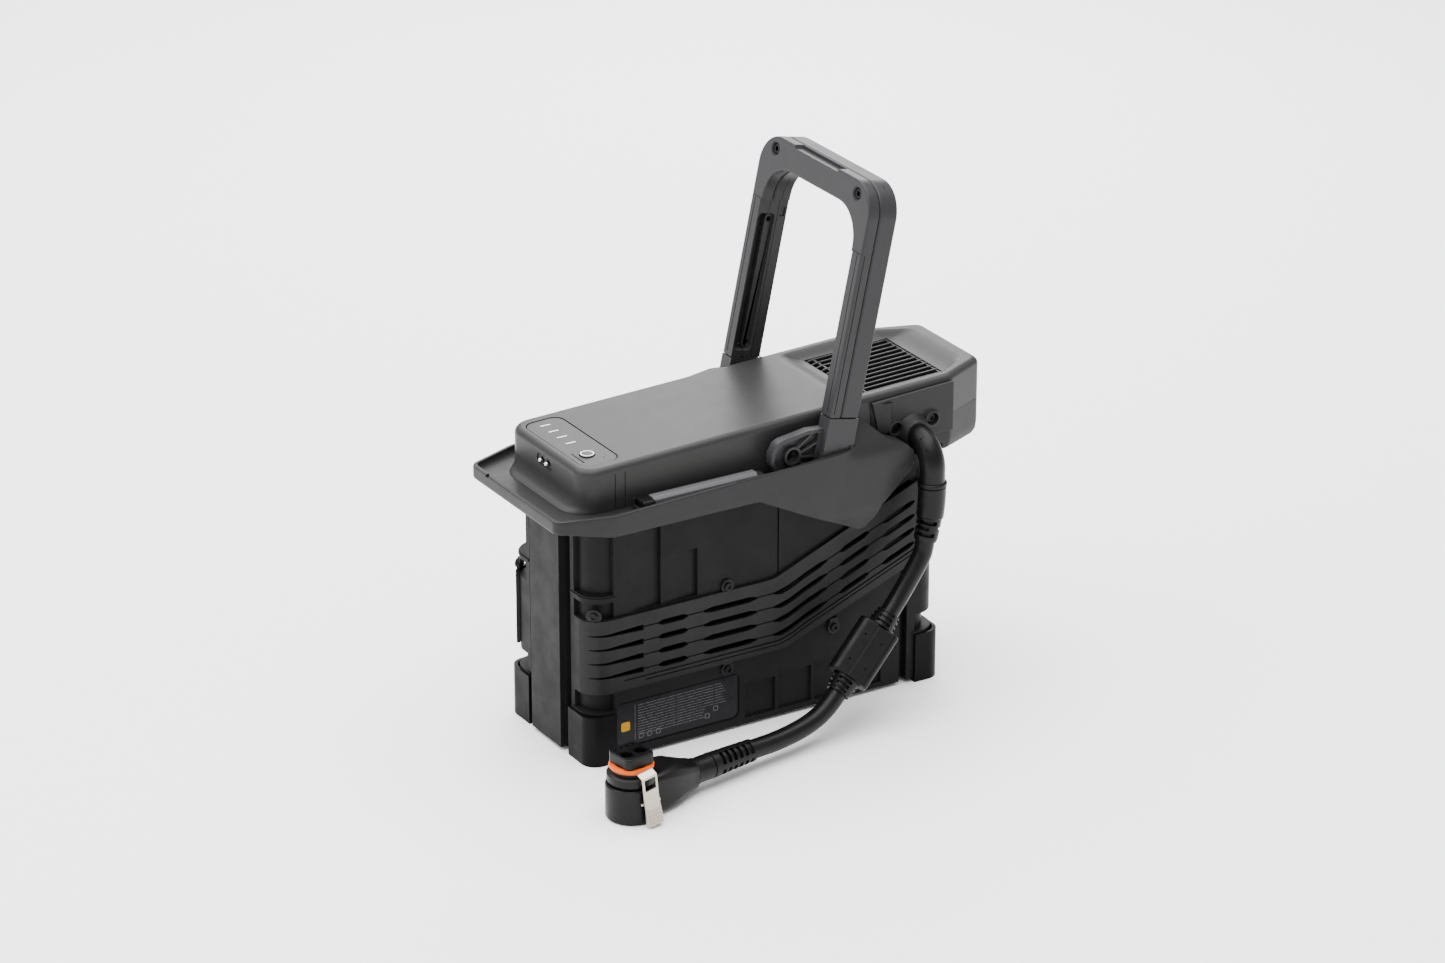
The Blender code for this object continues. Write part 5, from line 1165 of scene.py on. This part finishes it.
def makeStrips():
    values = {"lift": 0.0030}
    for side, node in ((-1, "ledge_strip_left"), (1, "ledge_strip_right")):
        low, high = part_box(node)
        inner, outer = sorted((abs(low[1]), abs(high[1])))
        base, top = low[2], high[2] + values["lift"]
        tag = sideTag[side]
        rail = [(inner - 0.0020, base), (outer + 0.0045, base), (outer + 0.0045, base + 0.0038),
            (outer + 0.0010, base + 0.0046), (outer + 0.0010, base + 0.0030),
            (inner - 0.0006, base + 0.0030), (inner - 0.0006, top - 0.0010),
            (inner - 0.0020, top - 0.0010)]
        channel = slab("stripChannel" + tag, [(side * a, b) for a, b in rail], "x", low[0] - 0.010,
            high[0] + 0.002)
        soften(channel, 0.0004, 2, 30)
        dress(channel, "framePlastic")
        section = [(inner, base + 0.0032), (outer + 0.0006, base + 0.0032),
            (outer + 0.0004, top - 0.0022), (outer - 0.0020, top), (inner + 0.0012, top),
            (inner, top - 0.0014)]
        strip = slab("restStrip" + tag, [(side * a, b) for a, b in section], "x", low[0] + 0.003, high[0])
        soften(strip, 0.0005, 2, 30)
        dress(strip, "stripRubber", replaces=(node,))
        ys = span(side, inner - 0.0012, outer + 0.0038)
        clip = block("stripClip" + tag, (low[0] - 0.0085, ys[0], base + 0.0030),
            (low[0] + 0.0030, ys[1], top - 0.0004))
        soften(clip, 0.0012, 3, 40)
        dress(clip, "blackPlasticAndShade")


makeStrips()


# top cover

coverValues = {"half": 0.0615, "rearHalf": 0.044, "chamfer": 0.039, "front": -0.003, "topZ": 0.256,
    "wallRound": 0.0052, "nose": 0.0175, "foot": 0.0088}
coverX = frontX + coverValues["front"]


def risen(x, z):
    return z + rise * (x - frontX)


def coverRing(inset, z, rising, frontOut=0.0):
    values = coverValues
    half, rearHalf = values["half"] - inset, values["rearHalf"] - inset * 0.7
    front, rear = coverX - frontOut + inset, rimX - inset
    shape = [(front, -half), (rear - values["chamfer"] + inset * 0.3, -half), (rear, -rearHalf),
        (rear, rearHalf), (rear - values["chamfer"] + inset * 0.3, half), (front, half)]
    nose = max(0.004, values["nose"] - inset * 0.8 + frontOut)
    outline = rounded(shape, [nose, 0.010, 0.008, 0.008, 0.010, nose], 10)
    return [(x, y, risen(x, z) if rising else z) for x, y in outline]


def makeCover():
    values = coverValues
    base = coverLow[2]
    rings = [coverRing(0.0, base, False, values["foot"])]
    for step in range(1, 9):
        t = step / 8
        rings.append(coverRing(0.0, base + 0.0012 + 0.0120 * t ** 1.7, False,
            values["foot"] * (1 - t) ** 2.2))
    rings.append(coverRing(0.0, values["topZ"] - values["wallRound"] - 0.002, True))
    for step in range(0, 9):
        angle = math.pi / 2 * step / 8
        rings.append(coverRing(values["wallRound"] * (1 - math.cos(angle)),
            values["topZ"] - values["wallRound"] * (1 - math.sin(angle)), True))
    cover = loft("topCover", rings)

    # the dish that the grille lies in
    grilleLow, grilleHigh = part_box("vent_grille")
    floorZ = values["topZ"] - 0.0055
    dish = []
    for step in range(9):
        t = step / 8
        depth = 0.5 + 0.5 * math.cos(math.pi * t)
        x0, x1 = grilleLow[0] + 0.006 - 0.024 * t, grilleHigh[0] + 0.0006 + 0.024 * t
        half = grilleHigh[1] + 0.0006 + 0.0115 * t
        rearHalf = grilleHigh[1] - 0.0024 - 0.003 * t
        shape = rounded([(x0, -half), (x1 - 0.028 * t - 0.003, -half), (x1, -rearHalf), (x1, rearHalf),
            (x1 - 0.028 * t - 0.003, half), (x0, half)], [0.002 + 0.010 * t] * 6, 7)
        dish.append([(x, y, risen(x, floorZ + (values["topZ"] - floorZ) * (1 - depth) + 0.00005)) for x,
            y in shape])
    dish.append([(x, y, z + 0.01) for x, y, z in dish[-1]])
    cutAway(cover, loft("dish", dish))
    well = slab("grilleWell", rectangle(grilleLow[0] + 0.0062, grilleHigh[0] + gap, -grilleHigh[1] - gap,
        grilleHigh[1] + gap), "z", 0.238, 0.30)
    cutAway(cover, well)

    # seats for the panel, the contact block and the rear parting
    panelLow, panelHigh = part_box("control_panel")
    seat = slab("panelSeat", rounded(rectangle(panelLow[0] - 0.0007, panelHigh[0] + 0.0007,
        panelLow[1] - 0.0007, panelHigh[1] + 0.0007), 0.0097, 8), "z", 0.2535, 0.30)
    for vert in seat.data.vertices:
        vert.co.z = risen(vert.co.x, vert.co.z)
    cutAway(cover, seat)
    blockLow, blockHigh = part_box("contact_block")
    slot = slab("contactSeat", rounded(rectangle(blockLow[1] - 0.0004, blockHigh[1] + 0.0004,
        blockLow[2] - 0.0004, blockHigh[2] + 0.0004), 0.0042, 6), "x", coverX - 0.02, blockLow[0] + 0.004)
    cutAway(cover, slot)
    hollow = slab("coverHollow", rectangle(coverX + 0.022, rimX - 0.050, -0.050, 0.050), "z",
        base - 0.01, 0.236)
    step = block("rearStep", (rearX + 0.0027, -0.12, 0.15), (rimX + 0.02, 0.12, 0.2333))
    leadGap = rod("leadGap", leadValues["clear"], -0.02, 0.02,
        (leadX, -values["half"], leadValues["exitZ"]), (0, -1, 0), 40)
    seams = []
    for at in (0.0255, 0.0345):
        for side in (-1, 1):
            ys = span(side, values["half"] - 0.0009, values["half"] + 0.01)
            seams.append(block("coverSeam", (frontX + at, ys[0], base - 0.001),
                (frontX + at + 0.0007, ys[1], 0.2505)))
    cutAway(cover, hollow, step, leadGap, *seams)
    soften(cover, 0.0004, 2, 50)
    dress(cover, "coverPlastic", replaces=("top_cover",), angle=38)


makeCover()
print("top cover made")


# vent grille

def makeGrille():
    values = {"ribs": 12, "ribWidth": 0.0020, "deep": 0.0045, "bend": 0.0125, "drop": 0.0040}
    low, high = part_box("vent_grille")
    front, rear, half = low[0] + 0.0010, high[0] - 0.0002, high[1] - 0.0002
    surface = coverValues["topZ"] - 0.0057
    pitch = (2 * half - values["ribWidth"]) / (values["ribs"] - 1)
    ribs = []
    for number in range(values["ribs"]):
        y = -half + pitch * number
        rings = []
        for step in range(17):
            x = front + (rear - front) * step / 16
            near = max(0.0, 1 - (x - front) / values["bend"])
            z = risen(x, surface) - values["drop"] * near ** 1.5
            rings.append([(x, y, z - values["deep"]), (x, y + values["ribWidth"], z - values["deep"]),
                (x, y + values["ribWidth"], z - 0.0005), (x, y + values["ribWidth"] - 0.0005, z),
                (x, y + 0.0005, z), (x, y, z - 0.0005)])
        ribs.append(loft("ventRib%02d" % number, rings))
    for name, x, width, drop in (("ventFrontRail", front, 0.0016, 0.0042),
            ("ventCross", front + 0.0128, 0.0013, 0.0004),
            ("ventRearRail", rear - 0.0018, 0.0018, 0.0006)):
        z = risen(x, surface) - drop
        ribs.append(block(name, (x, -half, z - values["deep"] + 0.0022), (x + width, half, z)))
    pick(*ribs)
    bpy.ops.object.join()
    grille = ribs[0]
    grille.name = "ventGrille"
    dress(grille, "grillePlastic", replaces=("vent_grille",))
    # a black perforated sheet below the grille ribs: painted shade that makes the slots between the ribs
    # look dark
    floorZ = risen(front, surface) - 0.0072
    shadeScreen = block("ventShadeScreen", (front, -half, floorZ - 0.0006), (rear, half, floorZ))
    for vert in shadeScreen.data.vertices:
        vert.co.z += rise * (vert.co.x - front)
    holes = []
    for row in range(6):
        for column in range(6):
            holes.append(rod("screenHole", 0.0042, -0.01, 0.01,
                (front + 0.010 + column * 0.0125, -half + 0.010 + row * 0.0128, floorZ + 0.001),
                (0, 0, 1), 10))
    cutGroup(shadeScreen, holes)
    dress(shadeScreen, "blackPlasticAndShade")


makeGrille()
print("grille made")


# control panel and its button

def makePanel():
    values = {"edge": 0.0094, "ledLength": 0.0090, "ledWidth": 0.0012,
        "leds": [0.0394, 0.0259, 0.0124, -0.0016], "ledX": 0.0200, "ringOut": 0.0056, "ringIn": 0.0047}
    low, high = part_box("control_panel")
    buttonLow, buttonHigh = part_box("power_button")
    buttonX, buttonY = (buttonLow[0] + buttonHigh[0]) / 2, (buttonLow[1] + buttonHigh[1]) / 2
    top = coverValues["topZ"] - 0.00035
    film = slab("panelWindow", rounded(rectangle(low[0], high[0], low[1], high[1]), values["edge"], 10),
        "z", top - 0.0018, top)
    for vert in film.data.vertices:
        vert.co.z = risen(vert.co.x, vert.co.z)
    bore = rod("buttonBore", 0.0064, -0.02, 0.02, (buttonX, buttonY, top), (0, 0, 1), 40)
    cutAway(film, bore)
    soften(film, 0.0004, 2, 50)
    dress(film, "panelFilm", replaces=("control_panel",))
    dashes = []
    for number, y in enumerate(values["leds"]):
        x = frontX + values["ledX"]
        z = risen(x, top)
        dash = slab("chargeDash%d" % number,
            rounded(rectangle(x - values["ledLength"] / 2, x + values["ledLength"] / 2,
            y - values["ledWidth"] / 2, y + values["ledWidth"] / 2), 0.0005, 3), "z", z - 0.0001,
            z + 0.00022)
        dashes.append(dash)
    pick(*dashes)
    bpy.ops.object.join()
    dashes[0].name = "chargeDashes"
    dress(dashes[0], "whiteLight")
    x = buttonX + 0.0085
    spot = rod("sensorDot", 0.0006, 0.0, 0.0003, (x, buttonY - 0.0115, risen(x, top)), (0, 0, 1), 16)
    dress(spot, "blackPlasticAndShade")
    mark = slab("panelMark", rounded(rectangle(buttonX - 0.0100, buttonX - 0.0090, buttonY - 0.012,
        buttonY + 0.008), 0.0004, 3), "z", risen(buttonX, top) - 0.0003, risen(buttonX, top))
    dress(mark, "blackPlasticAndShade")
    z = buttonHigh[2]
    cap = turned("buttonCap", [(0.0061, z - 0.006), (0.0061, z - 0.0006), (0.0057, z - 0.0001),
        (0.0040, z)], (buttonX, buttonY, 0), (0, 0, 1), 48)
    dress(cap, "panelFilm", "power_button", replaces=("power_button",))
    ring = rod("buttonRing", values["ringOut"], z - 0.0006, z + 0.00012, (buttonX, buttonY, 0),
        (0, 0, 1), 48)
    hole = rod("ringHole", values["ringIn"], z - 0.01, z + 0.01, (buttonX, buttonY, 0), (0, 0, 1), 48)
    cutAway(ring, hole)
    dress(ring, "whiteLight", "power_button")


makePanel()


# charging contacts

def makeContacts():
    low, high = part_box("contact_block")
    body = slab("contactInlay", rounded(rectangle(low[1], high[1], low[2], high[2]), 0.0039, 8), "x",
        low[0] + 0.0006, high[0])
    soften(body, 0.0004, 2, 50)
    wells = []
    for number in (1, 2):
        pinLow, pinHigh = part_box("contact_pin_%d" % number)
        wells.append(turned("pinWell", [(0.0028, -0.002), (0.0028, 0.0012), (0.0040, 0.0050)],
            (low[0] + 0.0016, (pinLow[1] + pinHigh[1]) / 2, (pinLow[2] + pinHigh[2]) / 2), (-1, 0, 0),
            24))
    cutAway(body, *wells)
    dress(body, "coverPlastic", replaces=("contact_block",))
    for number in (1, 2):
        pinLow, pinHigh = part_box("contact_pin_%d" % number)
        centre = (pinHigh[0], (pinLow[1] + pinHigh[1]) / 2, (pinLow[2] + pinHigh[2]) / 2)
        pin = turned("chargePin%d" % number,
            [(0.0018, 0.0), (0.0018, 0.0014), (0.0015, 0.0022), (0.0009, 0.0026)], centre, (-1, 0, 0), 24)
        dress(pin, "pinMetal", replaces=("contact_pin_%d" % number,))


makeContacts()
print("panel and contacts made")


# bracket that holds the lead

def makeBracket():
    values = {"boss": 0.0074, "recess": 0.0050, "rise": 0.0015, "top": 0.2512, "cut": 0.011}
    low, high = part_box("cable_bracket")
    outline = [(low[0], low[2] + values["cut"]), (low[0] + values["cut"], low[2]), (high[0], low[2]),
        (high[0], risen(high[0], values["top"])), (low[0] - 0.006, risen(low[0], values["top"]) - 0.0008)]
    plate = slab("leadBracket", outline, "y", low[1], high[1])
    soften(plate, 0.0008, 2, 40)
    root = turned("rootBoss", [(0.0168, 0.0002), (0.0160, 0.0012), (0.0138, 0.0042), (0.0126, 0.0085),
        (0.0120, 0.0096)], (leadX, low[1] + 0.001, leadValues["exitZ"] + 0.001), (0, -1, 0), 44)
    fuse(plate, root)
    wedge = slab("bracketFold", [(low[0] - 0.0055, -0.0622), (low[0] + 0.010, low[1] - 0.0030),
        (low[0] + 0.014, low[1] + 0.001), (low[0] + 0.014, -0.0622)], "z", low[2] + 0.0125,
        risen(low[0], values["top"]) - 0.0030)
    fuse(plate, wedge)
    for number in (1, 2):
        pinLow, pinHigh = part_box("bracket_screw_%d" % number)
        x, z = (pinLow[0] + pinHigh[0]) / 2, (pinLow[2] + pinHigh[2]) / 2
        boss = turned("screwBoss", [(values["boss"] + 0.0012, 0.0), (values["boss"], 0.0010),
            (values["boss"] - 0.0004, values["rise"] + 0.0014),
            (values["boss"] - 0.0014, values["rise"] + 0.0020)], (x, low[1] + 0.0004, z), (0, -1, 0), 36)
        fuse(plate, boss)
        seat = turned("screwSeat", [(0.0046, -0.0012), (values["recess"], 0.0010), (0.0058, 0.0060)],
            (x, low[1] + 0.0002, z), (0, -1, 0), 36)
        cutAway(plate, seat)
        screwHead("bracketScrew%d" % number, "bracket_screw_%d" % number, (x, low[1] + 0.0014, z),
            (0, -1, 0), 0.0042, 0.0016)
    bore = rod("rootBore", 0.0108, -0.02, 0.03, (leadX, low[1], leadValues["exitZ"]), (0, -1, 0), 40)
    cutAway(plate, bore)
    dress(plate, "framePlastic", replaces=("cable_bracket",))


makeBracket()


# handle

handleValues = {"lean": 11.9, "front": 0.0025, "depth": 0.028, "inner": 0.0665, "outer": 0.0825,
    "top": 0.2325, "grip": 0.0235, "armTop": 0.040, "split": 0.0105, "outerCorner": 0.027,
    "innerCorner": 0.030}
handlePlace = (Matrix.Translation((handlePivot[0], 0,
    handlePivot[1])) @ Matrix.Rotation(math.radians(handleValues["lean"]), 4, "Y"))


def gripLoop(grow=0.0):
    values = handleValues
    outer, inner, top = values["outer"] + grow, values["inner"] - grow, values["top"] + grow
    low = values["armTop"] + gap
    gripBase = values["top"] - values["grip"] - grow
    corners = [(outer, low), (outer, top), (-outer, top), (-outer, low), (-inner, low),
        (-inner, gripBase), (inner, gripBase), (inner, low)]
    return rounded(corners, [0, values["outerCorner"], values["outerCorner"], 0, 0,
        values["innerCorner"], values["innerCorner"], 0], 12)


def makeHandleShells():
    values = handleValues
    front, back = values["front"], values["front"] + values["depth"]
    middle = front + values["split"]
    frontShell = slab("gripFront", gripLoop(), "x", front, middle - gap / 2)
    rearShell = slab("gripRear", gripLoop(), "x", middle + gap / 2, back)
    pockets = {"low": 0.0470, "high": 0.1640, "deep": 0.0090, "front": 0.0014, "rear": 0.0172,
        "step": 0.0026}
    legTop, boltY, boltZ = 0.1765, 0.061, 0.2215
    soften(frontShell, 0.0016, 3, 60)
    soften(rearShell, 0.0022, 4, 60)
    for side in (-1, 1):
        innerFace = side * (values["inner"] - 0.004), side * (values["inner"] + pockets["step"])
        ys = sorted(innerFace)
        for shell in (frontShell, rearShell):
            cutAway(shell, block("legPanel", (front - 0.01, ys[0], values["armTop"] - 0.002),
                (back + 0.01, ys[1], legTop)))
            ring = []
            for inset, y in ((-0.0012, values["inner"] + pockets["step"] - 0.0008),
                    (0.0, values["inner"] + pockets["step"] + 0.0006),
                    (0.0008, values["inner"] + pockets["step"] + pockets["deep"])):
                shape = rounded(rectangle(front + pockets["front"] + inset,
                    front + pockets["rear"] - inset, pockets["low"] + inset, pockets["high"] - inset),
                    0.0042, 7)
                ring.append([(x, side * y, z) for x, z in shape])
            cutAway(shell, loft("legPocket", ring))
            line = block("innerSeam", (front + 0.0190,
                min(side * 0.06, side * (values["inner"] + pockets["step"] + 0.0007)),
                values["armTop"] - 0.002), (front + 0.0195,
                max(side * 0.06, side * (values["inner"] + pockets["step"] + 0.0007)), 0.2300))
            cutAway(shell, line)
            small = slab("smallSeat", rounded(rectangle(front + 0.0210, front + 0.0262, 0.1620, 0.1700),
                0.0006, 3), "y", *span(side, 0.06, values["inner"] + pockets["step"] + 0.0012))
            cutAway(shell, small)
        ledge = slab("pocketLedge", rounded(rectangle(front + 0.0102, front + pockets["rear"] + 0.0004,
            pockets["low"] + 0.0004, pockets["high"] - 0.0004), 0.0038, 5), "y",
            *span(side, values["inner"] + 0.0062, values["inner"] + 0.0125))
        holes = [rod("ledgeHole", 0.0021, -0.01, 0.01,
            (front + 0.0142, side * (values["inner"] + 0.006), z), (0, side, 0),
            20) for z in (pockets["low"] + 0.0052, pockets["high"] - 0.0056)]
        cutAway(ledge, *holes)
        soften(ledge, 0.0007, 2, 40)
        settle(ledge, handlePlace)
        dress(ledge, "handlePlastic", "handle")
        ledge.name = "pocketLedge" + sideTag[side]
        ys = span(side, values["outer"] - 0.0013, values["outer"] + 0.01)
        channel = block("legChannel", (front + 0.0030, ys[0], 0.044), (front + 0.0037, ys[1], legTop))
        ys = span(side, 0.0762, 0.0770)
        groove = block("faceGroove", (front - 0.01, ys[0], 0.044), (front + 0.0014, ys[1], legTop))
        cutAway(frontShell, groove)
        ys = span(side, 0.0600, 0.0840)
        seam = block("legSeam", (front - 0.001, ys[0], 0.1770), (front + 0.0006, ys[1], 0.1776))
        cutAway(frontShell, channel, seam)
        seat = rod("boltSeat", 0.0050, 0.0, 0.010, (front + 0.0046, side * boltY, boltZ), (-1, 0, 0), 32)
        cutAway(frontShell, seat)
        collar = rod("boltRim", 0.0060, 0.0, 0.01, (front + 0.0006, side * boltY, boltZ), (-1, 0, 0), 32)
        cutAway(frontShell, collar)
        bolt = screwHead("gripBolt" + sideTag[side], None, (front + 0.0042, side * boltY, boltZ),
            (-1, 0, 0), 0.0043, 0.0030, body="handle", recess=0.55)
        bolt.parent = None
        settle(bolt, handlePlace)
        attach(bolt, "handle")
        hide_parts("handle_bolt_" + sideTag[side].lower())
    recess = slab("gripRecess", [(-0.0290, values["top"] - 0.0026), (0.0340, values["top"] - 0.0026),
        (0.0385, values["top"] + 0.004), (-0.0335, values["top"] + 0.004)], "x", front - 0.01,
        middle - 0.0022)
    cutAway(frontShell, recess)
    settle(frontShell, handlePlace)
    settle(rearShell, handlePlace)
    dress(frontShell, "handlePlastic", "handle", replaces=("handle_front_shell",))
    dress(rearShell, "handlePlastic", "handle", replaces=("handle_rear_shell",))


def makeHandleArm(side, node, name):
    values = handleValues
    arm = copyNode(node, name)
    toLocal = handlePlace.inverted()
    settle(arm, toLocal)
    soften(arm, 0.0010, 2, 45)
    # a dished lobe with a raised rim, an eye and ribs that run to the leg
    outFace = side * (values["inner"] + 0.0101)
    ys = sorted((outFace - side * 0.0042, outFace + side * 0.02))
    dish = slab("lobeDish", rounded([(-0.0325, -0.0060), (-0.0385, 0.0010), (-0.0390, 0.0080),
        (-0.0370, 0.0138), (-0.0340, 0.0165), (-0.0110, 0.0250), (-0.0010, 0.0270), (-0.0010, -0.0060)],
        0.0016, 3), "y", ys[0], ys[1])
    cutAway(arm, dish)
    ys = sorted((outFace - side * 0.0050, outFace - side * 0.0004))
    eye = turned("lobeEye", [(0.0078, 0.0), (0.0078, ys[1] - ys[0])], (-0.0215, ys[0], 0.0065),
        (0, 1, 0), 36)
    ribs = [eye]
    for x0, z0, x1, z1 in ((-0.0200, 0.0120, -0.0060, 0.0270), (-0.0160, 0.0090, 0.0000, 0.0190),
            (-0.0160, 0.0060, 0.0000, 0.0070), (-0.0170, 0.0030, 0.0000, -0.0050)):
        away = Vector((x1 - x0, z1 - z0)).normalized() * 0.0008
        ribs.append(slab("lobeRib", [(x0 - away.y, z0 + away.x), (x0 + away.y, z0 - away.x),
            (x1 + away.y, z1 - away.x), (x1 - away.y, z1 + away.x)], "y", ys[0], ys[1]))
    fuse(arm, *ribs)
    cutAway(arm, rod("eyeBore", 0.0060, -0.004, 0.03, (-0.0215, outFace - side * 0.0080, 0.0065),
        (0, side, 0), 36))
    settle(arm, handlePlace)
    dress(arm, "handlePlastic", "handle", replaces=(node,))


makeHandleShells()
makeHandleArm(-1, "handle_arm_left", "handleArmLeft")
makeHandleArm(1, "handle_arm_right", "handleArmRight")
print("handle made")


# pieces whose CAD shape is right take a finish only

plainFinish = {"pivot_pin": "darkSteel", "latch_pin": "brightSteel", "light_guide": "whiteLight",
    "panel_board": "boardGreen", "battery_board": "boardGreen", "cell_module": "cellWrap",
    "link_busbar": "brightSteel", "main_fuse": "blackPlasticAndShade", "fan_frame": "blackPlasticAndShade",
    "fan_rotor": "blackPlasticAndShade"}
for nodeName, node in nodes.items():
    for start, finish in plainFinish.items():
        if nodeName.startswith(start):
            node.data.materials.clear()
            node.data.materials.append(finishes[finish])
print("finishes set")
